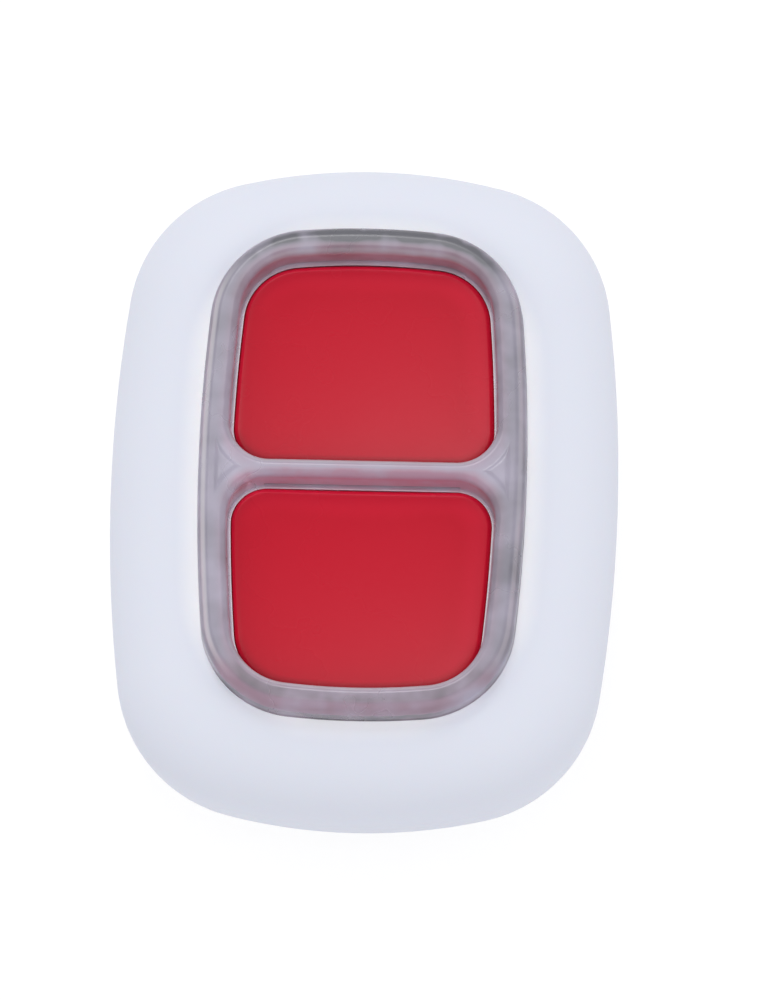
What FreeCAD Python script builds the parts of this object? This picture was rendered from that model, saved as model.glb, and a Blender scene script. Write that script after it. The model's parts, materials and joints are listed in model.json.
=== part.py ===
import FreeCAD, Part
import math
import os
import Sketcher

# Wireless panic button with two keys, in millimetres.
# X runs across the button, +Y towards the end with the cord hole, +Z out of the keys.
# The origin is the centre of the flat back.

# Driving sizes. Each is a cell of the spreadsheet, under the same name.
SIZES = {
    # Outline of the housing at its waist, where it is widest
    "body_width": 35.0,
    "body_length": 47.0,
    "body_side_radius": 105.0,
    "body_end_radius": 37.3,
    "body_corner_radius": 10.1,
    # Heights, how far the front and back roll inwards, and the walls
    "waist_height": 8.4,
    "front_height": 14.0,
    "front_roll_width": 7.0,
    "rear_roll_width": 6.9,
    "parting_height": 5.0,
    "wall": 1.8,
    "rear_floor": 1.5,
    # Lap of the two shells, with its snap catches and seal
    "lip_inset": 1.0,
    "lip_height": 1.1,
    "lip_root": 0.9,
    "lip_gap": 0.05,
    "catch_depth": 0.3,
    "catch_height": 0.4,
    "catch_lift": 0.4,
    "catch_length": 5.0,
    "catch_gap": 0.1,
    "seal_width": 0.7,
    "seal_height": 0.6,
    "pry_width": 5.0,
    "pry_height": 0.8,
    "pry_depth": 0.9,
    # Hole for a cord, from a recess in the back out through the end
    "hole_height": 2.0,
    "hole_radius": 1.0,
    "hole_wall": 0.9,
    "recess_inset": 9.0,
    "recess_width": 5.0,
    "recess_length": 3.8,
    "recess_depth": 3.2,
    "recess_corner": 0.8,
    # Clear divider, inside the shoulder of the housing
    "shoulder_side": 6.25,
    "shoulder_end": 6.05,
    "divider_side_radius": 119.5,
    "divider_end_radius": 48.8,
    "divider_corner_radius": 6.75,
    "divider_crown": 16.0,
    "divider_foot": 10.8,
    "window_gap": 0.05,
    "flange_width": 1.0,
    "flange_height": 0.8,
    "collar_width": 0.9,
    "seat_height": 1.0,
    "seat_drop": 2.4,
    "seat_gap": 0.15,
    "rim_side": 2.02,
    "rim_end": 1.9,
    "bar_width": 1.3,
    "outer_crown_radius": 0.8,
    "inner_crown_radius": 0.5,
    "relief_width": 13.4,
    "relief_depth": 0.12,
    "relief_height": 0.5,
    "leg_inset": 0.15,
    "leg_radius": 0.6,
    "leg_bottom": 7.2,
    # Keys
    "key_gap": 0.15,
    "key_side_radius": 125.0,
    "key_end_radius": 45.0,
    "key_outer_corner": 4.1,
    "key_inner_corner": 2.6,
    "key_top": 13.5,
    "key_travel": 0.5,
    "key_wall": 1.3,
    "key_edge": 0.4,
    "dish_radius": 160.0,
    "dish_depth": 0.25,
    "key_flange": 0.7,
    "key_flange_height": 0.8,
    "key_lift_gap": 0.1,
    "touch_gap": 0.05,
    "stem_radius": 1.3,
    # Inner frame
    "frame_gap": 0.2,
    "well_gap": 0.15,
    # Return boots
    "boot_foot_inset": 0.925,
    "boot_head_inset": 1.625,
    "boot_head_width": 1.0,
    "boot_head_height": 0.7,
    "boot_web": 0.45,
    # Circuit board and its screws
    "board_bottom": 5.6,
    "board_thickness": 0.8,
    "board_inset": 2.7,
    "screw_side_inset": 6.9,
    "screw_end_inset": 6.6,
    "screw_radius": 0.7,
    "screw_length": 4.0,
    "screw_gap": 0.05,
    "screw_head_radius": 1.3,
    "screw_head_height": 0.8,
    "socket_width": 0.9,
    "socket_depth": 0.55,
    "boss_radius": 1.35,
    # Switches
    "switch_width": 5.2,
    "switch_base_height": 1.5,
    "switch_floor": 0.3,
    "switch_wall": 0.7,
    "cover_sheet": 0.2,
    "cover_skirt": 0.9,
    "plunger_radius": 1.4,
    "plunger_collar": 0.3,
    "plunger_collar_height": 0.5,
    "plunger_reserve": 0.3,
    "plunger_gap": 0.1,
    "terminal_width": 0.7,
    "terminal_reach": 0.9,
    "terminal_sheet": 0.2,
    # Coin cell and its contacts
    "cell_side_room": 7.5,
    "cell_height": 3.2,
    "cell_cap_inset": 1.1,
    "cell_cap_height": 0.3,
    "cell_cap_edge": 0.15,
    "cell_edge_radius": 0.3,
    "cell_centre": -1.0,
    "rib_gap": 0.3,
    "rib_wall": 0.8,
    "rib_height": 1.6,
    "clip_sheet": 0.25,
    "clip_width": 6.0,
    "clip_gap": 0.4,
    "clip_foot": 1.4,
    "clip_window": 2.6,
    "contact_sheet": 0.2,
    "contact_width": 4.0,
    "contact_length": 9.0,
    "contact_foot": 2.0,
    "contact_touch": 3.0,
    # Parts soldered to the board
    "chip_width": 5.0,
    "chip_height": 0.85,
    "chip_side_inset": 10.9,
    "chip_end_inset": 9.9,
    "crystal_length": 3.2,
    "crystal_width": 2.5,
    "crystal_height": 0.7,
    "crystal_side_inset": 11.1,
    "crystal_end_inset": 10.3,
    "antenna_side_inset": 9.0,
    "antenna_sheet": 0.3,
    "antenna_height": 2.4,
    "antenna_end_inset": 6.3,
    "antenna_foot": 1.6,
    "antenna_strip": 0.8,
    "lamp_length": 1.0,
    "lamp_width": 0.5,
    "lamp_height": 0.5,
    "capacitor_length": 1.6,
    "capacitor_width": 0.8,
    "capacitor_height": 0.8,
    "capacitor_pitch": 2.6,
    "capacitor_inset": 10.1,
}

# Sections of a rolled shell, from its upright edge to the angle where it meets the flat
ROLL_SECTIONS = 6
ROLL_END = 84.0
# Widths and lengths of the two rounded outlines
OUTLINES = {
    "body": ("body_width", "body_length"),
    "divider": ("(body_width - 2 * shoulder_side)", "(body_length - 2 * shoulder_end)"),
}
# How far the housing has rolled inwards at the line where the two shells meet
PARTING_RISE = f"((1 - parting_height / waist_height) * sin({ROLL_END} deg))"
PARTING_INSET = f"rear_roll_width * (1 - sqrt(1 - {PARTING_RISE} ^ 2))"
# Heights that several pieces share
BOARD_TOP = "board_bottom + board_thickness"
SWITCH_TOP = f"{BOARD_TOP} + switch_base_height"
PLUNGER_TOP = f"{SWITCH_TOP} + cover_sheet + key_travel + plunger_reserve"
SEAT = "divider_foot + flange_height"
KEY_FOOT = "divider_foot - key_lift_gap - key_flange_height"
# Reach of the upper key: its half width, its outer end, its middle and its half length
KEY_SIDE = "(body_width / 2 - shoulder_side - rim_side - key_gap)"
KEY_END = "(body_length / 2 - shoulder_end - rim_end - key_gap)"
KEY_MIDDLE = f"({KEY_END} + bar_width / 2 + key_gap) / 2"
KEY_HALF_LENGTH = f"({KEY_END} - bar_width / 2 - key_gap) / 2"
# Places and radii that follow from them
BOOT_HEAD = f"{KEY_HALF_LENGTH} - boot_head_inset"
BOOT_FOOT = f"{KEY_HALF_LENGTH} - boot_foot_inset"
LEG_ACROSS = "(body_width / 2 - shoulder_side - leg_inset)"
SCREW_ACROSS = "(body_width / 2 - screw_side_inset)"
SCREW_ALONG = "(body_length / 2 - screw_end_inset)"
RECESS_ALONG = "(body_length / 2 - recess_inset)"
CELL_RADIUS = "(body_width / 2 - cell_side_room)"
SIDES = {"left": -1, "right": 1}
KEYS = {"upper": 0.0, "lower": 180.0}

doc = FreeCAD.newDocument("panic_button")
sheet = doc.addObject("Spreadsheet::Sheet", "Sizes")
for row, (alias, size) in enumerate(SIZES.items(), start=1):
    sheet.set(f"A{row}", alias)
    sheet.set(f"B{row}", str(size))
    sheet.setAlias(f"B{row}", alias)
doc.recompute()


# Small helpers for bodies, sketches and features

def named(text):
    """Put the sheet's name before each size in an expression."""
    words = []
    word = ""
    for letter in text + " ":
        if letter.isalnum() or letter == "_":
            word += letter
            continue
        words.append("Sizes." + word if word in SIZES else word)
        words.append(letter)
        word = ""
    return "".join(words).strip()


def number(text):
    """Value of an expression of sizes, as a plain number."""
    result = sheet.evalExpression(named(text))
    return float(getattr(result, "Value", result))


def bind(thing, path, text):
    """Tie a property to an expression of sizes."""
    thing.setExpression(path, named(text))


def new_body(label):
    body = doc.addObject("PartDesign::Body", label)
    body.Label = label
    return body


def origin_plane(body, role):
    for feature in body.Origin.OriginFeatures:
        if feature.Role == role:
            return feature
    raise ValueError(role)


def new_sketch(body, name, role="XY_Plane", height="0", turn=0.0):
    """Empty sketch on an origin plane, lifted along the plane's normal."""
    sketch = body.newObject("Sketcher::SketchObject", name)
    sketch.AttachmentSupport = [(origin_plane(body, role), "")]
    sketch.MapMode = "FlatFace"
    turned = FreeCAD.Rotation(FreeCAD.Vector(0, 0, 1), turn)
    sketch.AttachmentOffset = FreeCAD.Placement(FreeCAD.Vector(0, 0, number(height)), turned)
    bind(sketch, "AttachmentOffset.Base.z", height)
    return sketch


def rule(sketch, kind, *arguments, value=None):
    """Add a constraint, tied to an expression of sizes where it has a value."""
    if value is None:
        return sketch.addConstraint(Sketcher.Constraint(kind, *arguments))
    index = sketch.addConstraint(Sketcher.Constraint(kind, *arguments, number(value)))
    bind(sketch, f"Constraints[{index}]", value)
    return index


def corner_centre(side_centre, side_radius, end_centre, end_radius, corner_radius):
    """Centre of a corner arc inside a side arc (centre on X) and an end arc (centre on Y)."""
    reach_side = side_radius - corner_radius
    reach_end = end_radius - corner_radius
    apart = math.hypot(side_centre, end_centre)
    along = (reach_side ** 2 - reach_end ** 2 + apart ** 2) / (2 * apart)
    across = math.sqrt(reach_side ** 2 - along ** 2)
    unit_x = -side_centre / apart
    unit_y = end_centre / apart
    return (side_centre + along * unit_x - across * unit_y, along * unit_y + across * unit_x)


def arc(centre, radius, start, finish):
    circle = Part.Circle(FreeCAD.Vector(*centre, 0), FreeCAD.Vector(0, 0, 1), radius)
    return Part.ArcOfCircle(circle, start, finish)


def rounded_outline(sketch, shape, inset="0"):
    """Outline of eight tangent arcs: two sides, two ends and four corners.

    The inset moves every arc inwards about the same centres.
    """
    side = number(f"{shape}_side_radius - ({inset})")
    end = number(f"{shape}_end_radius - ({inset})")
    corner = number(f"{shape}_corner_radius - ({inset})")
    width, length = OUTLINES[shape]
    side_offset = f"{shape}_side_radius - {width} / 2"
    end_offset = f"{shape}_end_radius - {length} / 2"
    side_x = number(side_offset)
    end_y = number(end_offset)
    corner_x, corner_y = corner_centre(-side_x, side, -end_y, end, corner)
    low = math.atan2(corner_y, corner_x + side_x)
    high = math.atan2(corner_y + end_y, corner_x)
    half = math.pi
    arcs = [
        arc((-side_x, 0), side, -low, low),
        arc((corner_x, corner_y), corner, low, high),
        arc((0, -end_y), end, high, half - high),
        arc((-corner_x, corner_y), corner, half - high, half - low),
        arc((side_x, 0), side, half - low, half + low),
        arc((-corner_x, -corner_y), corner, half + low, half + high),
        arc((0, end_y), end, half + high, 2 * half - high),
        arc((corner_x, -corner_y), corner, 2 * half - high, 2 * half - low),
    ]
    first = sketch.addGeometry(arcs[0], False)
    for other in arcs[1:]:
        sketch.addGeometry(other, False)
    for step in range(8):
        rule(sketch, "Tangent", first + step, 2, first + (step + 1) % 8, 1)
    for step, axis in ((0, -1), (4, -1), (2, -2), (6, -2)):
        rule(sketch, "PointOnObject", first + step, 3, axis)
    rule(sketch, "DistanceX", first, 3, -1, 1, value=side_offset)
    rule(sketch, "DistanceX", -1, 1, first + 4, 3, value=side_offset)
    rule(sketch, "DistanceY", first + 2, 3, -1, 1, value=end_offset)
    rule(sketch, "DistanceY", -1, 1, first + 6, 3, value=end_offset)
    for step in (0, 4):
        rule(sketch, "Radius", first + step, value=f"{shape}_side_radius - ({inset})")
    for step in (2, 6):
        rule(sketch, "Radius", first + step, value=f"{shape}_end_radius - ({inset})")
    for step in (1, 3, 5, 7):
        rule(sketch, "Radius", first + step, value=f"{shape}_corner_radius - ({inset})")


def key_outline(sketch, grow="0", inner_grow="0", corner_grow="0"):
    """Outline of a key: a straight inner edge, two curved sides and a curved outer end.

    It is drawn for the upper key. grow moves the sides and the outer end outwards,
    and inner_grow moves the inner edge towards the bar.
    """
    inner = f"bar_width / 2 + key_gap - ({inner_grow})"
    side_text = f"key_side_radius + ({grow})"
    side_offset = f"key_side_radius - {KEY_SIDE}"
    end_text = f"key_end_radius + ({grow})"
    end_offset = f"key_end_radius - {KEY_END}"
    outer_text = f"key_outer_corner + ({grow})"
    inner_text = f"key_inner_corner + ({corner_grow})"
    inner_y, side, end = number(inner), number(side_text), number(end_text)
    side_x, end_y = number(side_offset), number(end_offset)
    outer_corner, inner_corner = number(outer_text), number(inner_text)
    outer_x, outer_y = corner_centre(-side_x, side, -end_y, end, outer_corner)
    low_y = inner_y + inner_corner
    low_x = math.sqrt((side - inner_corner) ** 2 - low_y ** 2) - side_x
    low = math.atan2(low_y, low_x + side_x)
    middle = math.atan2(outer_y, outer_x + side_x)
    high = math.atan2(outer_y + end_y, outer_x)
    half = math.pi
    start = FreeCAD.Vector(-low_x, inner_y, 0)
    finish = FreeCAD.Vector(low_x, inner_y, 0)
    pieces = [
        Part.LineSegment(start, finish),
        arc((low_x, low_y), inner_corner, -half / 2, low),
        arc((-side_x, 0), side, low, middle),
        arc((outer_x, outer_y), outer_corner, middle, high),
        arc((0, -end_y), end, high, half - high),
        arc((-outer_x, outer_y), outer_corner, half - high, half - middle),
        arc((side_x, 0), side, half - middle, half - low),
        arc((-low_x, low_y), inner_corner, half - low, half * 1.5),
    ]
    first = sketch.addGeometry(pieces[0], False)
    for other in pieces[1:]:
        sketch.addGeometry(other, False)
    for step in range(8):
        rule(sketch, "Tangent", first + step, 2, first + (step + 1) % 8, 1)
    rule(sketch, "DistanceY", -1, 1, first, 1, value=inner)
    for step, axis in ((2, -1), (6, -1), (4, -2)):
        rule(sketch, "PointOnObject", first + step, 3, axis)
    rule(sketch, "DistanceX", first + 2, 3, -1, 1, value=side_offset)
    rule(sketch, "DistanceX", -1, 1, first + 6, 3, value=side_offset)
    rule(sketch, "DistanceY", first + 4, 3, -1, 1, value=end_offset)
    rule(sketch, "Radius", first + 2, value=side_text)
    rule(sketch, "Radius", first + 6, value=side_text)
    rule(sketch, "Radius", first + 4, value=end_text)
    for step in (3, 5):
        rule(sketch, "Radius", first + step, value=outer_text)
    for step in (1, 7):
        rule(sketch, "Radius", first + step, value=inner_text)


def circle_outline(sketch, radius, across="0", along="0"):
    """Circle with its centre tied to two distances from the origin."""
    centre = FreeCAD.Vector(number(across), number(along), 0)
    index = sketch.addGeometry(Part.Circle(centre, FreeCAD.Vector(0, 0, 1), number(radius)), False)
    rule(sketch, "Radius", index, value=radius)
    place_point(sketch, index, 3, across, along)


def place_point(sketch, index, point, across, along):
    """Tie a point of a sketch to two distances from the origin."""
    if across == "0":
        rule(sketch, "PointOnObject", index, point, -2)
    else:
        rule(sketch, "DistanceX", -1, 1, index, point, value=across)
    if along == "0":
        rule(sketch, "PointOnObject", index, point, -1)
    else:
        rule(sketch, "DistanceY", -1, 1, index, point, value=along)


def polygon_outline(sketch, points):
    """Closed outline of straight lines through points given as expressions."""
    corners = [FreeCAD.Vector(number(x), number(y), 0) for x, y in points]
    first = None
    count = len(points)
    for step in range(count):
        line = Part.LineSegment(corners[step], corners[(step + 1) % count])
        index = sketch.addGeometry(line, False)
        first = index if first is None else first
    for step in range(count):
        rule(sketch, "Coincident", first + step, 2, first + (step + 1) % count, 1)
    for step, (x, y) in enumerate(points):
        place_point(sketch, first + step, 1, x, y)


def rectangle_outline(sketch, width, length, across="0", along="0"):
    """Rectangle about a centre."""
    left = f"{across} - ({width}) / 2"
    right = f"{across} + ({width}) / 2"
    bottom = f"{along} - ({length}) / 2"
    top = f"{along} + ({length}) / 2"
    polygon_outline(sketch, [(left, bottom), (right, bottom), (right, top), (left, top)])


def extrude(body, kind, name, sketch, length, reverse=False, midplane=False):
    """Pad or pocket of a sketch. A pocket cuts upwards, along the sketch's normal."""
    feature = body.newObject("PartDesign::" + kind, name)
    feature.Profile = sketch
    feature.Midplane = midplane
    feature.Reversed = (kind == "Pocket") != reverse
    feature.Length = number(length)
    bind(feature, "Length", length)
    return feature


def pad(body, name, sketch, length, **options):
    return extrude(body, "Pad", name, sketch, length, **options)


def pocket(body, name, sketch, length, **options):
    return extrude(body, "Pocket", name, sketch, length, **options)


def loft(body, kind, name, sketches):
    feature = body.newObject("PartDesign::" + kind, name)
    feature.Profile = sketches[0]
    feature.Sections = sketches[1:]
    feature.Ruled = len(sketches) == 2
    return feature


def revolve(body, kind, name, sketch):
    """Turn a profile drawn on the XZ plane about the Z axis."""
    feature = body.newObject("PartDesign::" + kind, name)
    feature.Profile = sketch
    feature.ReferenceAxis = (sketch, ["V_Axis"])
    feature.Angle = 360
    return feature


def round_edges(body, name, feature, radius, wanted):
    """Fillet the edges of the last feature that a test picks."""
    doc.recompute()
    names = [f"Edge{index}" for index, edge in enumerate(feature.Shape.Edges, start=1)
             if wanted(edge)]
    fillet = body.newObject("PartDesign::Fillet", name)
    fillet.Base = (feature, names)
    fillet.Radius = number(radius)
    bind(fillet, "Radius", radius)
    return fillet


def bevel_edges(body, name, feature, size, wanted):
    """Chamfer the edges of the last feature that a test picks."""
    doc.recompute()
    names = [f"Edge{index}" for index, edge in enumerate(feature.Shape.Edges, start=1)
             if wanted(edge)]
    bevel = body.newObject("PartDesign::Chamfer", name)
    bevel.Base = (feature, names)
    bevel.Size = number(size)
    bind(bevel, "Size", size)
    return bevel


def flat_at(height):
    """Test for an edge that lies wholly at one height."""
    level = number(height)

    def wanted(edge):
        box = edge.BoundBox
        return abs(box.ZMin - level) < 1e-4 and abs(box.ZMax - level) < 1e-4

    return wanted


def cut(name, base, tool):
    feature = doc.addObject("Part::Cut", name)
    feature.Base = base
    feature.Tool = tool
    return feature


def fuse(name, *shapes):
    feature = doc.addObject("Part::MultiFuse", name)
    feature.Shapes = list(shapes)
    feature.Refine = True
    return feature


# The rolled form of the two shells

def roll_solid(name, width, depth, full_width, direction):
    """Shrinking outlines along a quarter ellipse, from the waist almost to its flat end.

    The outline starts at an inset of full_width less width, and would end at full_width.
    """
    body = new_body(name)
    sketches = []
    for step in range(ROLL_SECTIONS):
        angle = ROLL_END * step / (ROLL_SECTIONS - 1)
        inset = f"{full_width} - ({width}) * cos({angle} deg)"
        share = f"sin({angle} deg) / sin({ROLL_END} deg)"
        lift = f"waist_height + {direction} * ({depth}) * {share}"
        sketch = new_sketch(body, f"{name}_section_{step}", height=lift)
        rounded_outline(sketch, "body", inset)
        sketches.append(sketch)
    loft(body, "AdditiveLoft", name + "_loft", sketches)
    return body


def make_housing_halves():
    """The hollow housing, parted below its waist into a front half and a rear half."""
    rise = "front_height - waist_height"
    front = roll_solid("front_crown", "front_roll_width", rise, "front_roll_width", 1)
    back = roll_solid("rear_back", "rear_roll_width", "waist_height", "rear_roll_width", -1)
    front_room = roll_solid("front_room", "front_roll_width - wall", f"{rise} - wall",
                            "front_roll_width", 1)
    rear_room = roll_solid("rear_room", "rear_roll_width - wall", "waist_height - rear_floor",
                           "rear_roll_width", -1)
    shell = cut("shell", fuse("outer_form", front, back), fuse("inner_form", front_room, rear_room))
    front_half = cut("front_half", shell, parting_box("behind_parting", "parting_height - front_height"))
    rear_half = cut("rear_half", shell, parting_box("before_parting", "parting_height"))
    return front_half, rear_half


def parting_box(name, bottom):
    """Box over the whole outline, one housing high."""
    box = doc.addObject("Part::Box", name)
    bind(box, "Length", "body_width * 2")
    bind(box, "Width", "body_length * 2")
    bind(box, "Height", "front_height")
    bind(box, "Placement.Base.x", "-body_width")
    bind(box, "Placement.Base.y", "-body_length")
    bind(box, "Placement.Base.z", bottom)
    return box


def ring_pad(body, name, shape, outer, inner, bottom, height):
    """Ring between two insets of an outline."""
    sketch = new_sketch(body, name + "_sketch", height=bottom)
    rounded_outline(sketch, shape, outer)
    rounded_outline(sketch, shape, inner)
    return pad(body, name, sketch, height)


def screw_circles(sketch, radius):
    """Circle at each of the four screws."""
    for across in SIDES.values():
        for along in (-1, 1):
            circle_outline(sketch, radius, f"{across} * {SCREW_ACROSS}", f"{along} * {SCREW_ALONG}")


def make_front_housing(half):
    """Front shell, with the divider's window and seat, four screw bosses and the lap."""
    reach = "flange_width + seat_gap"
    collar = new_body("window_collar")
    ring_pad(collar, "collar", "divider", f"-({reach} + collar_width)", "-window_gap",
             SEAT, "seat_height")

    bosses = new_body("screw_bosses")
    boss_sketch = new_sketch(bosses, "boss_sketch", height=BOARD_TOP)
    screw_circles(boss_sketch, "boss_radius")
    bosses.AllowCompound = True
    pad(bosses, "boss_pad", boss_sketch, f"{SEAT} + seat_height - ({BOARD_TOP})")

    filled = fuse("front_filled", half, collar, bosses)

    openings = new_body("front_openings")
    openings.AllowCompound = True
    window = new_sketch(openings, "window_sketch", height=f"{SEAT} - wall")
    rounded_outline(window, "divider", "-window_gap")
    pad(openings, "window", window, "divider_crown")
    seat_sketch = new_sketch(openings, "seat_sketch", height=SEAT)
    rounded_outline(seat_sketch, "divider", f"-({reach})")
    pad(openings, "seat", seat_sketch, "seat_drop", reverse=True)

    lap = new_body("front_lap")
    ring_pad(lap, "rebate", "body", f"{PARTING_INSET} + lip_inset",
             f"{PARTING_INSET} + wall + seal_width", "parting_height - wall",
             "wall + lip_height + seal_height")
    catch_blocks(lap, "catch_slot", "catch_gap")

    pilots = new_body("pilot_holes")
    pilots.AllowCompound = True
    pilot_sketch = new_sketch(pilots, "pilot_sketch", height="board_bottom")
    screw_circles(pilot_sketch, "screw_radius + screw_gap")
    pad(pilots, "pilots", pilot_sketch, "screw_length + screw_gap * 2")

    removed = fuse("front_removed", openings, lap, pilots)
    housing = cut("front_housing", filled, removed)
    housing.Label = "front_housing"
    return housing


def make_rear_housing(half):
    """Rear shell: snap lip, ribs round the coin cell, cord hole and pry notch."""
    lip = new_body("snap_lip")
    ring_pad(lip, "lip", "body", f"{PARTING_INSET} + lip_inset + lip_gap",
             f"{PARTING_INSET} + wall", "parting_height - lip_root", "lip_root + lip_height")
    catch_blocks(lip, "catch", "0")

    ribs = new_body("cell_ribs")
    ribs.AllowCompound = True
    rib_sketch = new_sketch(ribs, "rib_sketch", height="rear_floor / 2")
    for radius in ("rib_gap", "rib_gap + rib_wall"):
        circle_outline(rib_sketch, f"{CELL_RADIUS} + {radius}", "0", "cell_centre")
    pad(ribs, "rib_ring", rib_sketch, "rear_floor / 2 + rib_height")
    passage = new_sketch(ribs, "passage_sketch", height="0")
    rectangle_outline(passage, "body_width", "clip_width + 2 * rib_gap", "0", "cell_centre")
    pocket(ribs, "clip_passage", passage, "waist_height")

    filled = fuse("rear_filled", half, lip, ribs, make_cord_block())

    notch = doc.addObject("Part::Box", "pry_notch")
    bind(notch, "Length", "pry_width")
    bind(notch, "Width", f"pry_depth * 2 + {PARTING_INSET}")
    bind(notch, "Height", "pry_height * 2")
    bind(notch, "Placement.Base.x", "-pry_width / 2")
    bind(notch, "Placement.Base.y", "-body_length / 2 - pry_depth")
    bind(notch, "Placement.Base.z", "parting_height - pry_height")
    removed = fuse("rear_removed", *make_cord_holes(), notch)
    housing = cut("rear_housing", filled, removed)
    housing.Label = "rear_housing"
    return housing


def make_cord_block():
    """Walls round the recess and the cord hole, trimmed to the outside of the shell."""
    block = new_body("cord_block")
    height = "recess_depth + hole_wall - rear_floor / 2"
    recess_walls = new_sketch(block, "recess_walls", height="rear_floor / 2")
    rectangle_outline(recess_walls, "recess_width + 2 * hole_wall",
                      "recess_length + 2 * hole_wall", "0", RECESS_ALONG)
    pad(block, "recess_block", recess_walls, height)
    hole_walls = new_sketch(block, "hole_walls", height="rear_floor / 2")
    rectangle_outline(hole_walls, "2 * (hole_radius + hole_wall)", "recess_inset",
                      "0", f"{RECESS_ALONG} + recess_inset / 2")
    pad(block, "hole_block", hole_walls, height)
    trimmed = doc.addObject("Part::MultiCommon", "cord_block_trimmed")
    trimmed.Shapes = [block, doc.getObject("outer_form")]
    return trimmed


def make_cord_holes():
    """Recess in the back, and the hole that runs from it out through the end."""
    recess = new_body("cord_recess")
    sketch = new_sketch(recess, "recess_sketch", height="recess_depth")
    rectangle_outline(sketch, "recess_width", "recess_length", "0", RECESS_ALONG)
    hollow = pad(recess, "recess", sketch, "recess_depth * 2", reverse=True)

    def upright(edge):
        return edge.BoundBox.ZLength > number("recess_depth")

    round_edges(recess, "recess_corners", hollow, "recess_corner", upright)
    bore = doc.addObject("Part::Cylinder", "cord_hole")
    bind(bore, "Radius", "hole_radius")
    bind(bore, "Height", "recess_inset")
    bore.Placement.Rotation = FreeCAD.Rotation(FreeCAD.Vector(1, 0, 0), -90)
    bind(bore, "Placement.Base.y", RECESS_ALONG)
    bind(bore, "Placement.Base.z", "hole_height")
    return recess, bore


def catch_blocks(body, name, gap):
    """Block at the middle of each side and end, proud of the lip by the depth of a catch."""
    sketch = new_sketch(body, name + "_sketch", height=f"parting_height + catch_lift - ({gap})")
    inset = f"({PARTING_INSET} + lip_inset + lip_gap - catch_depth - ({gap}))"
    back = f"({PARTING_INSET} + (lip_inset + wall) / 2)"
    length = f"catch_length + 2 * ({gap})"
    for sign in SIDES.values():
        rectangle_outline(sketch, f"{back} - {inset}", length,
                          f"{sign} * (body_width - {inset} - {back}) / 2")
        rectangle_outline(sketch, length, f"{back} - {inset}", "0",
                          f"{sign} * (body_length - {inset} - {back}) / 2")
    return pad(body, name, sketch, f"catch_height + 2 * ({gap})")


def make_housing_seal():
    """Soft cord of flat section between the rear lip and the front shell."""
    seal = new_body("housing_seal")
    outer = f"{PARTING_INSET} + lip_inset + lip_gap"
    ring_pad(seal, "seal", "body", outer, f"{outer} + seal_width",
             "parting_height + lip_height", "seal_height")
    return seal


# The clear divider, the keys and the frame that holds them

def make_divider():
    """Clear figure-eight frame, with a flange under the window and two light legs."""
    divider = new_body("divider")
    flange_sketch = new_sketch(divider, "flange_sketch", height="divider_foot")
    rounded_outline(flange_sketch, "divider", "-flange_width")
    pad(divider, "flange", flange_sketch, "flange_height")
    wall_sketch = new_sketch(divider, "wall_sketch", height="divider_foot")
    rounded_outline(wall_sketch, "divider")
    pad(divider, "walls", wall_sketch, "divider_crown - divider_foot")
    leg_sketch = new_sketch(divider, "leg_sketch", height=SEAT)
    for across in SIDES.values():
        circle_outline(leg_sketch, "leg_radius", f"{across} * {LEG_ACROSS}")
    pad(divider, "legs", leg_sketch, f"{SEAT} - leg_bottom", reverse=True)
    for key, turn in KEYS.items():
        cell = new_sketch(divider, f"{key}_cell_sketch", height="divider_foot", turn=turn)
        key_outline(cell, "key_gap", "key_gap", "key_gap")
        last = pocket(divider, f"{key}_cell", cell, "divider_crown")
    crown = flat_at("divider_crown")

    def outer_crown(edge):
        return crown(edge) and not inside_rim(edge)

    def inner_crown(edge):
        return crown(edge) and inside_rim(edge)

    last = round_edges(divider, "outer_crown", last, "outer_crown_radius", outer_crown)
    last = round_edges(divider, "inner_crown", last, "inner_crown_radius", inner_crown)
    relief = new_sketch(divider, "relief_sketch", height="key_top")
    for wall in ("-bar_width / 2", f"{KEY_END} + key_gap"):
        rectangle_outline(relief, "relief_width", "2 * relief_depth", "0", wall)
    pocket(divider, "reliefs", relief, "relief_height")
    return divider


def inside_rim(edge):
    """Whether an edge lies no further out than the walls of the two cells."""
    box = edge.BoundBox
    half = number(f"{KEY_SIDE} + key_gap * 1.5")
    end = number(f"{KEY_END} + key_gap * 1.5")
    reach_x = max(abs(box.XMin), abs(box.XMax))
    reach_y = max(abs(box.YMin), abs(box.YMax))
    return reach_x < half and reach_y < end


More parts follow.
